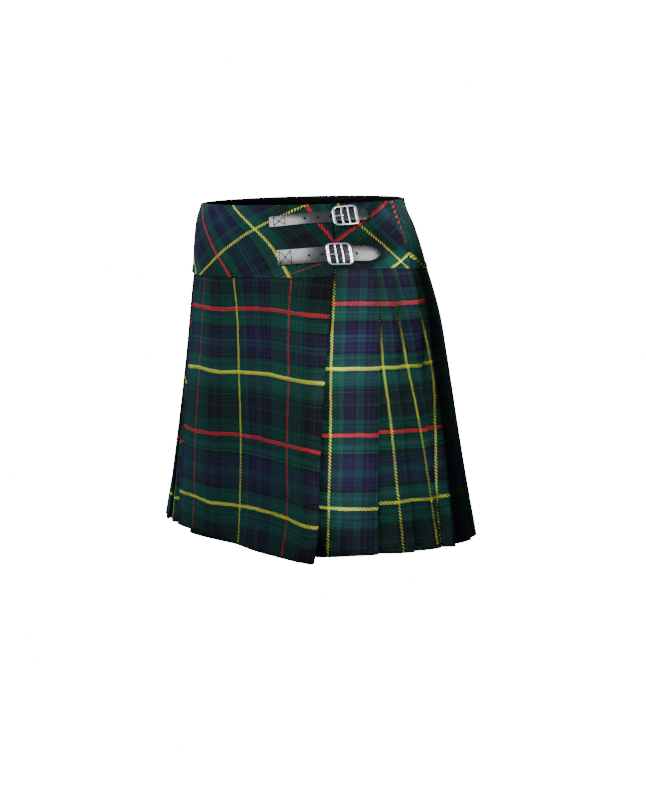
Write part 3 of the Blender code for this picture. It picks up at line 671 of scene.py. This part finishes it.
def pleat_frame(part):
    """Nominal height of a row, where the pleats start round the body and the width of one."""
    height = PLEAT_TOP + part * (HEM_HEIGHT - PLEAT_TOP)
    start, end = (distance_at(height, angle_on(edge, height))
                  for edge in (FIRST_PLEAT_EDGE, APRON_LEFT_EDGE))
    return height, start, (end - start) / PLEATS


def fold_edge(k, part):
    """Distance round the body of fold edge k, with the unevenness of real folds."""
    _, start, width = pleat_frame(part)
    shift = FOLD_SHIFT[k]
    shift = np.interp(part, (0.0, 0.33, 0.6, 1.0) if len(shift) == 4 else (0.0, 1.0), shift)
    waver = 0.5 * math.sin(5.0 * part + 1.7 * k) + 0.3 * math.sin(13.0 * part + 2.9 * k)
    if k in (0, PLEATS):
        waver = 0.0
    return start + k * width + (shift + waver * min(part * 4, 1.0)) * MM


def arc_points(x, out, radius, first, last, count):
    """Points of a fold seen from above, as distances round the body and out."""
    turn = np.radians(np.linspace(first, last, count))
    return [(x + radius * math.cos(t), out + radius * math.sin(t)) for t in turn]


def length_along(path):
    """Length of a row's path up to each of its points."""
    return np.concatenate([[0.0], np.cumsum(np.linalg.norm(np.diff(path, axis=0), axis=1))])


def fold_path(first, last, part):
    """One row of the pleats from first to last: distances round the body and out, the places
    on the cloth along the row, and the pleat that each point belongs to."""
    _, _, width = pleat_frame(part)
    step, lap = layer_step(part), PLEAT_LAP * width
    low, middle, radius = LOW_LAYER_OUT, LOW_LAYER_OUT + step, step / 2
    begin = fold_edge(first, part)
    path, owner, edge_at = [(begin - lap + LAYER_END, low), (begin - lap * 0.5, low)], [first, first], {}
    for k in range(first, last):
        edge, following = fold_edge(k, part), fold_edge(k + 1, part)
        edge_at[k] = len(path)
        lift = FOLD_OPEN[k] * MM * min(max(part, 0.0), 1.0) ** (0.7 if k == OPENS_EARLY else 2.0)
        end = following - FOLD_CLEAR - radius
        for share in np.linspace(0.0, 1.0, 15):
            x = edge + (end - edge) * share
            over = min(1.0, (x - edge) / (following - edge) / 0.8)
            rise = 0.1 + 1.9 * math.sin(math.pi / 2 * over) ** 1.3
            path.append((x, low + rise * step + lift * share ** 2))
        if k == PLEATS - 1:
            # The last pleat lies under the apron, and its face dives to the body before its edge
            path[-6:] = [(following - lap, low), (following - lap * 0.4, low), (following + RUN_ON, low)]
        else:
            path += arc_points(end, middle + radius + lift * 0.5, radius + lift * 0.5, 75.0, -90.0, 7)
            path += [(following - lap * 0.45, middle), (following - lap * 0.75, middle)]
            if k < last - 1:
                inner = following - lap + radius
                path += arc_points(inner, low + radius, radius, 90.0, 180.0, 4)
                owner += [k] * (len(path) - len(owner))
                path += arc_points(inner, low + radius, radius, 180.0, 270.0, 4)[1:]
                path.append((following - lap * 0.4, low))
                owner += [k + 1] * (len(path) - len(owner))
            else:
                path.append((following - lap, middle))
        owner += [k] * (len(path) - len(owner))
    path = np.array(path)
    run = length_along(path)
    places = {}
    for k, at in edge_at.items():
        face = fold_edge(k + 1, part) - fold_edge(k, part)
        places[k] = run - run[at] - smooth(part, STRIPE_AT, STRIPE_ON_FACE[k]) * face
    return path, places, np.array(owner)


def tuck(part, outs, low):
    """Layers lie closer together where they are sewn under the yoke."""
    depth = part * (PLEAT_TOP - HEM_HEIGHT)
    return outs - (outs - low) * 0.5 * math.exp(-max(depth + TUCK_HOLD, 0.0) / TUCK_FADE)


def hang(height, distances, outs, part, seam, drop=0.0):
    """Points of one row of cloth that hangs from a seam to the hem."""
    angles = angle_at(height, distances)
    top = height_on(seam, angles)
    heights = top + part * (HEM_HEIGHT - top) - drop
    return on_form(angles, heights, outs), angles, heights


def sew_pleats():
    """The knife pleats round the back, in four lengths."""
    for name, first, last in PLEAT_PIECES:
        rows, left, right = [], [], []
        for part in HUNG_PARTS:
            path, places, owner = fold_path(first, last, part)
            outs = tuck(part, path[:, 1], LOW_LAYER_OUT)
            points, angles, heights = hang(pleat_frame(part)[0], path[:, 0], outs, part, UNDER_SEAM)
            rows.append(points)
            v = height_lines(angles - 360.0 * (angles > 360.0), heights) * STRIPE_SPACING
            # A column of faces takes its chart from the pleat of its right-hand edge
            keeper = owner[1:]
            raised = STRIPES_RAISED * np.clip((part - 0.3) / 0.5, 0.0, 1.0)
            step = (np.array([LINE_STEP[k] for k in keeper]) - raised) * MM
            for side, at in ((left, 0), (right, 1)):
                u = np.array([places[k][j + at] for j, k in enumerate(keeper)])
                side.append(np.stack([u, v[at:len(v) - 1 + at] + step], -1))
        sew(name + "_cloth", name, rows, (np.array(left), np.array(right)), TARTAN, SKIRT_CLOTH)


def sew_under_apron():
    """The plain panel under the apron, up to its fold over the first pleat."""
    rows, charts = [], []
    for part in HUNG_PARTS:
        height, start, width = pleat_frame(part)
        step = layer_step(part)
        top, radius = LOW_LAYER_OUT + 2 * step, step / 2
        inner = distance_at(height, angle_on(APRON_LEFT_EDGE, height) - 360.0) + UNDER_INNER
        end = start - FOLD_CLEAR - radius
        xs = np.concatenate([np.linspace(inner, start - 1.2 * width, 36),
                             start - width * np.linspace(1.0, 0.1, 10), [end]])
        before = (start - xs) / width
        rise = np.where(before < 0.9, np.clip(smooth(before, UNDER_RISE[:, 0], UNDER_RISE[:, 1]), 0, 1), 0.0)
        wave = UNDER_WAVE * np.sin(xs / UNDER_WAVE_LENGTH + 2.0 * part) * part * (1 - rise)
        path = list(zip(xs, UNDER_APRON_OUT + rise * (top - UNDER_APRON_OUT) + np.abs(wave)))
        path += arc_points(end, top - radius, radius, 75.0, -90.0, 7)
        path += [(start - PLEAT_LAP * width * share, top - step) for share in (0.6, 1.0)]
        path = np.array(path)
        outs = tuck(part, path[:, 1], LOW_LAYER_OUT)
        # Its hem hangs a little lower towards the hidden end
        drop = UNDER_DROP * np.clip((part - 0.87) / 0.13, 0.0, 1.0)
        drop = drop * np.clip((start - path[:, 0]) / (2 * width), 0.0, 1.0)
        points, angles, heights = hang(height, path[:, 0], outs, part, UNDER_SEAM, drop)
        rows.append(points)
        run = length_along(path)
        zero = distance_at(height, 0.0) + smooth(-height / CM, -UNDER_DOWN[:, 0], UNDER_DOWN[:, 1]) * CM
        u = run - np.interp(zero, xs[:-1], run[:len(xs) - 1])
        charts.append(np.stack([u, height_lines(angles, heights) * STRIPE_SPACING], -1))
    sew("under_apron_cloth", "under_apron", rows, np.array(charts), TARTAN, SKIRT_CLOTH)


# The over apron

# Soft folds of the apron: share of its width at the hem, half width of the fold as a share, how far
# it comes out at the hem in millimetres, and where it starts as a share of the length
APRON_FOLDS = ((0.10, 0.07, 1.0, 0.20), (0.33, 0.10, 1.6, 0.35), (0.50, 0.06, -0.6, 0.50),
               (0.68, 0.09, 1.8, 0.25), (0.90, 0.06, 1.0, 0.45))
# Its free corner swings out and droops, and the very tip is rounded up a little. The swing starts at
# a share of the width and grows by these powers across and down.
APRON_SWING, APRON_DROOP, APRON_TIP = 20.0 * MM, 11.0 * MM, 2.2 * MM
SWING_START, SWING_ACROSS, SWING_DOWN = 0.12, 1.35, 1.4
APRON_LENGTH, APRON_TUCK = 31.0 * CM, 1.0 * MM
# The turned-back left edge: how far it goes back, and the gap between its layers at seam and hem
TURN_BACK, TURN_GAP, TURN_GAP_MORE = (16.0 * MM, 8.0 * MM), 1.5 * MM, 0.9 * MM
TURN_AT = np.array([16.0, 8.0, 2.5, 2.1, 1.7, 1.3, 0.9, 0.5, 0.1]) * MM


def apron_relief(across, part):
    """How far the apron's soft folds stand out."""
    relief = np.zeros(np.shape(across))
    for middle, half, out, start in APRON_FOLDS:
        length = max(0.0, (part - start) / (1 - start)) ** 1.3
        relief += out * MM * length * np.exp(-((across - middle - 0.04 * (1 - part)) / half) ** 2)
    return relief


def sew_apron():
    """The over apron, with its left edge turned back and its free corner swung out."""
    face = np.linspace(0.0, 1.0, 84)
    swing = np.clip((face - SWING_START) / (1 - SWING_START), 0.0, 1.0) ** SWING_ACROSS
    rows, charts = [], []
    for part in np.concatenate([[-0.006, -0.003], np.linspace(0.0, 1.0, 58)]):
        down = max(part, 0.0)
        height = APRON_TOP + part * (HEM_HEIGHT - APRON_TOP)
        left = distance_at(height, angle_on(APRON_LEFT_EDGE, height) - 360.0)
        free = distance_at(height, angle_on(APRON_FREE_EDGE, height))
        gap = TURN_GAP + TURN_GAP_MORE * down
        radius = gap / 2
        turned = np.array([(left + back, APRON_OUT - gap) for back in TURN_BACK]
                          + arc_points(left + radius, APRON_OUT - radius, radius, 270.0, 100.0, 7))
        x = np.concatenate([turned[:, 0], np.linspace(left + radius, free, len(face))])
        outs = np.concatenate([turned[:, 1], APRON_OUT + APRON_SWING * swing * down ** SWING_DOWN
                               + apron_relief(face, down)])
        outs = outs - APRON_TUCK * math.exp(-(down * APRON_LENGTH + APRON_TUCK_HOLD) / TUCK_FADE)
        tip = APRON_TIP * np.clip((face - 0.985) / 0.015, 0, 1) * max(0.0, (down - 0.97) / 0.03)
        drop = np.concatenate([np.zeros(len(turned)), APRON_DROOP * swing * down - tip])
        points, _, _ = hang(height, x, outs, part, FRONT_SEAM, drop)
        rows.append(points)
        charts.append(apron_chart(np.concatenate([-TURN_AT / (free - left), face]), part))
    sew("apron_cloth", "apron", rows, np.array(charts), TARTAN, SKIRT_CLOTH)


# Straps, tabs and buckles

STRAP_THICK, TAB_THICK, YOKE_HALF_WALL = 2.0 * MM, 1.5 * MM, 0.75 * MM
BUCKLE_HALF_THICK, PRONG_HALF_THICK, CLEAR = 1.2 * MM, 0.9 * MM, 0.3 * MM
STRAP_OUT = FRONT_YOKE_OUT + YOKE_HALF_WALL + CLEAR + STRAP_THICK / 2
TAB_OUT = UNDER_YOKE_OUT + YOKE_HALF_WALL + CLEAR + TAB_THICK / 2
BUCKLE_OUT = STRAP_OUT + STRAP_THICK / 2 + CLEAR + BUCKLE_HALF_THICK
PRONG_OUT = BUCKLE_OUT + BUCKLE_HALF_THICK + CLEAR + PRONG_HALF_THICK
# Each strap's middle line as angles and heights in centimetres; in millimetres its width, the length
# of its tip and the height of its buckle, and its holes and the ends of its sewn box along it, from
# the middle of the buckle
STRAPS = {
    "upper": {
        "line": np.array([(19.0, -1.25), (37.0, -0.76), (51.0, -0.52), (60.0, -0.30), (74.0, -0.25)]),
        "width": 12.7, "tip": 5.0, "buckle_angle": 60.2, "buckle_high": 21.8,
        "holes": (-44.9, -30.1, -15.8), "box": (-82.8, -68.8),
    },
    "lower": {
        "line": np.array([(21.2, -5.32), (37.0, -4.95), (44.0, -4.80), (53.0, -4.70), (75.5, -4.70)]),
        "width": 18.0, "tip": 20.0, "buckle_angle": 53.0, "buckle_high": 25.0,
        "holes": (-33.9, -18.8, 18.4), "box": (-70.4, -55.6),
    },
}
HOLE_RADIUS, HOLE_SIDES = 1.5 * MM, 16
TAB_WIDTH, TAB_START, TAB_END = 0.84, -8.0 * MM, 17.0 * MM
STITCH, STITCH_GAP, BOX_MARGIN, STITCH_SINK = 2.4 * MM, 0.4 * MM, 1.6 * MM, 0.05 * MM
# Rings of a stitch, which dives into the leather at both ends: share of its length, radius, rise
STITCH_RINGS = ((0.0, 0.15, -0.2), (0.10, 0.45, 0.12), (0.30, 0.52, 0.22), (0.70, 0.52, 0.22),
                (0.90, 0.45, 0.12), (1.0, 0.15, -0.2))
CREASE_ANGLE = math.radians(38.0)


def strap_point(strap, along, across, out):
    """Points of a strap: along and across it from its buckle's middle, in metres."""
    line = strap["line"]
    middle = height_on(line, strap["buckle_angle"])
    angle = angle_at(middle, distance_at(middle, strap["buckle_angle"]) + along)
    return on_form(angle, height_on(line, angle) + across, out)


def run_to(strap, angle):
    """Distance along a strap from the middle of its buckle to an angle."""
    height = height_on(strap["line"], strap["buckle_angle"])
    return distance_at(height, angle) - distance_at(height, strap["buckle_angle"])


def band_mesh(name, strap, along, half_widths, out, thick, rounding):
    """A leather band with rounded edges, closed at its ends, bent round the body."""
    points = []
    for a, half in zip(along, half_widths):
        round_by = min(rounding, half * 0.9)
        for side_x, side_z, first in ((1, 1, 0), (-1, 1, 90), (-1, -1, 180), (1, -1, 270)):
            turn = np.radians(first + np.linspace(0.0, 90.0, 4))
            x = side_x * (half - round_by) + round_by * np.cos(turn)
            z = side_z * (thick / 2 - rounding) + rounding * np.sin(turn)
            points += list(strap_point(strap, a, x, out + z))
    return mesh_of(name, points, ring_faces(len(along), len(points) // len(along)))


def rod_mesh(name, strap, runs, out, sides):
    """Rods bent round the body over a strap. Each run is its points and whether it is a loop. A
    point is along, across, rise, half breadth and half thickness, all in metres."""
    points, faces = [], []
    turn = np.linspace(0.0, 2 * math.pi, sides + 1)[:-1]
    for run, loop in runs:
        run = np.array(run)
        padded = np.pad(run[:, :2], ((1, 1), (0, 0)), mode="wrap" if loop else "edge")
        forward = padded[2:] - padded[:-2]
        forward = forward / np.linalg.norm(forward, axis=1)[:, None]
        faces += ring_faces(len(run), sides, len(points), loop)
        for (x, y, rise, breadth, thick), (fx, fy) in zip(run, forward):
            aside = breadth * np.cos(turn)
            points += list(strap_point(strap, x - fy * aside, y + fx * aside,
                                       out + rise + thick * np.sin(turn)))
    return mesh_of(name, points, faces)


def punch_holes(piece, strap):
    """Cut a strap's round holes."""
    turn = np.linspace(0.0, 2 * math.pi, HOLE_SIDES + 1)[:-1]
    for place in strap["holes"]:
        ends = [strap_point(strap, place * MM + HOLE_RADIUS * np.cos(turn), HOLE_RADIUS * np.sin(turn),
                            STRAP_OUT + side * 1.5 * STRAP_THICK) for side in (-1, 1)]
        punch = bpy.data.objects.new("punch", mesh_of("punch", np.concatenate(ends),
                                                      ring_faces(2, HOLE_SIDES)))
        bpy.context.scene.collection.objects.link(punch)
        cut = piece.modifiers.new("hole", "BOOLEAN")
        cut.operation, cut.object, cut.solver = "DIFFERENCE", punch, "EXACT"
        depsgraph = bpy.context.evaluated_depsgraph_get()
        pierced = bpy.data.meshes.new_from_object(piece.evaluated_get(depsgraph))
        piece.modifiers.clear()
        piece.data = pierced
        bpy.data.objects.remove(punch, do_unlink=True)
    piece.data.shade_smooth()
    piece.data.set_sharp_from_angle(angle=CREASE_ANGLE)


def stitch_run(start, end):
    """A row of stitches between two places on a strap, as rods."""
    start, end = np.array(start), np.array(end)
    total = np.linalg.norm(end - start)
    count = max(1, round((total + STITCH_GAP) / (STITCH + STITCH_GAP)))
    pitch = (total + STITCH_GAP) / count
    unit = (end - start) / total
    return [([(*(start + unit * (pitch * i + (pitch - STITCH_GAP) * share)), rise * MM, radius * MM,
               radius * MM) for share, radius, rise in STITCH_RINGS], False) for i in range(count)]


def make_strap(name):
    """A strap with its holes and its box of crossed stitches, and the tab that holds its buckle."""
    strap = STRAPS[name]
    begin, end = (run_to(strap, strap["line"][row, 0]) for row in (0, -1))
    length = strap["tip"] * MM
    tip = end - length
    along = np.concatenate([[begin, begin + 0.4 * MM], np.linspace(begin + 1.2 * MM, tip, 60),
                            tip + length * np.array([.15, .3, .45, .6, .72, .82, .9, .95, .98, 1.0])])
    past = np.clip((along - tip) / length, 0.0, 1.0)
    half = strap["width"] / 2 * MM * np.maximum(1.0 - past ** 2.2, 0.03) ** 0.62
    half[0] -= 0.3 * MM
    mesh = band_mesh(f"strap_{name}_leather", strap, along, half, STRAP_OUT, STRAP_THICK, 0.7 * MM)
    piece = dress(f"strap_{name}_leather", mesh, LEATHER, f"strap_{name}")
    punch_holes(piece, strap)

    (a, b), h = np.array(strap["box"]) * MM, strap["width"] / 2 * MM - BOX_MARGIN
    box = (((a, -h), (a, h)), ((b, -h), (b, h)), ((a, -h), (b, h)), ((a, h), (b, -h)))
    mesh = rod_mesh(f"strap_{name}_stitches", strap, [rod for ends in box for rod in stitch_run(*ends)],
                    STRAP_OUT + STRAP_THICK / 2 - STITCH_SINK, 8)
    dress(f"strap_{name}_stitches", mesh, THREAD).parent = piece

    edge = run_to(strap, angle_on(FRONT_YOKE_EDGE, height_on(strap["line"], strap["buckle_angle"])))
    along = np.linspace(max(TAB_START, edge + 3.0 * MM), TAB_END, 12)
    half = np.full(12, TAB_WIDTH * strap["width"] / 2 * MM)
    mesh = band_mesh(f"tab_{name}_leather", strap, along, half, TAB_OUT, TAB_THICK, 0.5 * MM)
    tab = dress(f"tab_{name}_leather", mesh, LEATHER, f"buckle_tab_{name}")
    tab.data.set_sharp_from_angle(angle=CREASE_ANGLE)


# Buckles, in millimetres: half width, corner radius, half breadths of the heavy side bars and of the
# thin top and bottom bars, half thicknesses of the same, where the two middle bars are, how they bow
# out and up, and their half breadth, how it grows to the ends, and half thickness
BUCKLE_HALF_WIDE, BUCKLE_CORNER, SIDE_BAR, THIN_BAR = 13.85, 4.2, 1.7, 0.95
SIDE_THICK, THIN_THICK = 1.2, 0.75
MIDDLE_BARS, BAR_BOW, BAR_RISE = (-3.3, 3.3), 0.35, 0.3
BAR_BREADTH, BAR_WIDENS, BAR_THICK = 0.85, 0.2, 0.8
# Prong: along, rise and radius, from the middle bar to the tip
PRONG = ((-1.6, 0.0, 0.75), (-2.2, 0.05, 0.9), (-5.0, 0.2, 0.85), (-8.0, 0.1, 0.75), (-11.0, -0.1, 0.7),
         (-12.0, -0.2, 0.5), (-12.4, -0.25, 0.15))


def make_buckle(name):
    """A chrome buckle with heavy side bars, thin top and bottom bars, two bowed middle bars and its
    prong."""
    strap = STRAPS[name]
    x, y = BUCKLE_HALF_WIDE - SIDE_BAR, strap["buckle_high"] / 2 - THIN_BAR
    inner_x, inner_y = x - BUCKLE_CORNER, y - BUCKLE_CORNER
    path = []
    for side_x, side_y, first in ((1, 1, 0), (-1, 1, 90), (-1, -1, 180), (1, -1, 270)):
        path += [(side_x * inner_x + BUCKLE_CORNER * math.cos(t),
                  side_y * inner_y + BUCKLE_CORNER * math.sin(t))
                 for t in np.radians(first + np.linspace(0.0, 90.0, 9))]
        if first in (90, 270):
            # The heavy side bar, straight down or up to the next corner
            path += [(side_x * x, side_y * inner_y * (1 - 2 * share)) for share in (0.2, 0.4, 0.6, 0.8)]
    ring = []
    for px, py in path:
        heavy = min(1.0, max(0.0, (abs(px) - inner_x) / BUCKLE_CORNER)) ** 1.5
        ring.append((px, py, 0.0, THIN_BAR + (SIDE_BAR - THIN_BAR) * heavy,
                     THIN_THICK + (SIDE_THICK - THIN_THICK) * heavy))
    runs = [(np.array(ring) * MM, True)]
    for middle in MIDDLE_BARS:
        bar = [(middle + math.copysign(BAR_BOW, middle) * math.cos(math.pi / 2 * s), s * y,
                BAR_RISE * math.cos(math.pi / 2 * s), BAR_BREADTH + BAR_WIDENS * s * s, BAR_THICK)
               for s in np.linspace(-1.0, 1.0, 11)]
        runs.append((np.array(bar) * MM, False))
    prong = np.array([(along, 0.0, rise, radius, radius) for along, rise, radius in PRONG]) * MM
    for piece, shape, out in (("buckle", runs, BUCKLE_OUT), ("prong", [(prong, False)], PRONG_OUT)):
        mesh = rod_mesh(f"{piece}_{name}_chrome", strap, shape, out, 16)
        dress(f"{piece}_{name}_chrome", mesh, CHROME, f"{piece}_{name}")


# Studio

CAMERA_SIDE, CAMERA_FAR, CAMERA_HIGH, CAMERA_SHIFT = 46.0, 2.6, 0.118, 0.0236
TARGET_HEIGHT, SENSOR_MM, LENS_MM = -0.235, 36.0, 96.70
FLOOR_HEIGHT, FLOOR_FLAT, FLOOR_SWEEP, FLOOR_SIDES = -1.05, 6.0, 2.0, 96
FLOOR_GLOW, AIR_GLOW = 18.0, 0.9
# Lights for matt surfaces. A narrow spread is a softbox with a honeycomb grid.
# name, side and rise in degrees, distance, width, height, radiance, aimed at, and where they aren't
# the usual ones, spread in degrees and tint
LAMPS = [
    ("key_softbox", 14.0, 25.0, 1.15, 0.6, 0.6, 1.72, (0, 0, 0.02), 64.0),
    ("left_softbox", -80.0, 30.0, 1.5, 0.6, 0.6, 18.5, (0, 0, 0.0), 180.0, "#b4c8ec"),
    ("yoke_strip", 125.0, 8.0, 1.5, 0.06, 0.06, 3.9, (0.017, -0.025, -0.01), 3.8),
    ("hip_strip", 100.0, 8.0, 1.5, 0.06, 0.06, 1.5, (0.017, -0.025, -0.022), 3.4),
    ("under_apron_strip", 45.0, 6.0, 1.5, 0.03, 0.25, 1.55, (0.030, 0.030, -0.26), 3.8),
    ("back_softbox", 235.0, 30.0, 3.0, 1.6, 1.6, 5.0, (0, 0, -0.15)),
]
# A column of lamps with honeycomb grids, from the side on to the first pleats. Their light ends
# where the fourth fold turns away, and is strongest at the top.
PLEAT_LAMP_SIDE, PLEAT_LAMP_TOP, PLEAT_LAMP_STEP, PLEAT_LAMP_NEAR_EDGE = 70.0, -0.082, 0.07, 0.020
PLEAT_LAMP_WIDE, PLEAT_LAMP_WIDENS = 0.102, 0.006
for number, radiance in enumerate((1.35, 0.52, 0.54, 0.54, 0.34)):
    wide = PLEAT_LAMP_WIDE + PLEAT_LAMP_WIDENS * number
    along = wide / 2 - PLEAT_LAMP_NEAR_EDGE
    side = math.radians(PLEAT_LAMP_SIDE)
    aim = (along * math.cos(side), along * math.sin(side), PLEAT_LAMP_TOP - PLEAT_LAMP_STEP * number)
    LAMPS.append((f"pleat_lamp_{number}", PLEAT_LAMP_SIDE, 0.0, 1.5, wide, PLEAT_LAMP_STEP, radiance,
                  aim, 0.8))
# White cards, which only leather and metal show, in the same columns
CARDS = [
    ("front_card", -8.0, 9.0, 3.0, 1.85, 1.85, 16.5, (0, 0, -0.15)),
    ("side_card", 79.0, 5.0, 3.0, 2.0, 1.3, 16.5, (0, 0, -0.15)),
]


def place_camera():
    """The camera at the photograph's angle, a little above the waist on the wearer's front left."""
    side = math.radians(CAMERA_SIDE)
    back = Vector((math.sin(side), -math.cos(side), 0.0))
    shift = Vector((math.cos(side), math.sin(side), 0.0)) * CAMERA_SHIFT
    data = bpy.data.cameras.new("camera")
    data.sensor_fit, data.sensor_width, data.lens = "AUTO", SENSOR_MM, LENS_MM
    camera = bpy.data.objects.new("camera", data)
    camera.location = back * CAMERA_FAR + shift + Vector((0, 0, CAMERA_HIGH))
    target = shift + Vector((0, 0, TARGET_HEIGHT))
    camera.rotation_euler = (target - camera.location).to_track_quat("-Z", "Y").to_euler()
    bpy.context.scene.collection.objects.link(camera)
    bpy.context.scene.camera = camera


def hang_light(matt, name, side, rise, far, wide, high, radiance, aim, spread=180.0, tint="#ffffff"):
    """A rectangular light that matt surfaces show, or else a card that glossy ones show."""
    data = bpy.data.lights.new(name, "AREA")
    data.shape, data.size, data.size_y = "RECTANGLE", wide, high
    data.energy = radiance * math.pi * wide * high
    data.spread = math.radians(spread)
    data.color = linear(tint)[:3]
    light = bpy.data.objects.new(name, data)
    turn, up = math.radians(side), math.radians(rise)
    away = Vector((math.sin(turn) * math.cos(up), -math.cos(turn) * math.cos(up), math.sin(up)))
    light.location = Vector(aim) + away * far
    light.rotation_euler = away.to_track_quat("Z", "Y").to_euler()
    light.visible_camera, light.visible_diffuse, light.visible_glossy = False, matt, not matt
    bpy.context.scene.collection.objects.link(light)


def build_studio():
    """A pale round floor that sweeps up into a wall, pale air, and soft lights."""
    bend = [(FLOOR_FLAT + FLOOR_SWEEP * math.sin(t), FLOOR_SWEEP * (1 - math.cos(t)))
            for t in np.radians(np.linspace(0.0, 90.0, 10))]
    profile = [(2.0, 0.0), (4.0, 0.0), *bend, (8.0, 4.0), (8.0, 7.0)]
    turns = np.linspace(0.0, 2 * math.pi, FLOOR_SIDES + 1)[:-1]
    points = [(r * math.cos(t), r * math.sin(t), FLOOR_HEIGHT + z) for r, z in profile for t in turns]
    faces = ring_faces(len(profile), FLOOR_SIDES)[:-1]
    paper, shader, _ = start_material("matt_white_paper")
    for key, value in {"Base Color": linear("#f4f4f4"), "Roughness": 1.0, "Specular IOR Level": 0.0,
                       "Emission Color": linear("#ffffff"), "Emission Strength": FLOOR_GLOW}.items():
        shader.inputs[key].default_value = value
    floor = bpy.data.objects.new("studio_floor", mesh_of("studio_floor", points, faces))
    floor.data.materials.append(paper)
    floor.data.shade_smooth()
    floor.visible_diffuse = floor.visible_glossy = floor.visible_transmission = False
    floor.visible_shadow = False
    bpy.context.scene.collection.objects.link(floor)
    world = bpy.data.worlds.new("studio_air")
    world.use_nodes = True
    air = world.node_tree.nodes["Background"]
    air.inputs["Color"].default_value = linear("#dfe6f2")
    air.inputs["Strength"].default_value = AIR_GLOW
    # The pale room shows in leather and metal; the lamps alone light the cloth
    world.cycles_visibility.diffuse = False
    bpy.context.scene.world = world
    for lamp in LAMPS:
        hang_light(True, *lamp)
    for card in CARDS:
        hang_light(False, *card)


sew_yokes()
sew_pleats()
sew_under_apron()
sew_apron()
for strap_name in STRAPS:
    make_strap(strap_name)
for strap_name in STRAPS:
    make_buckle(strap_name)
build_studio()
place_camera()
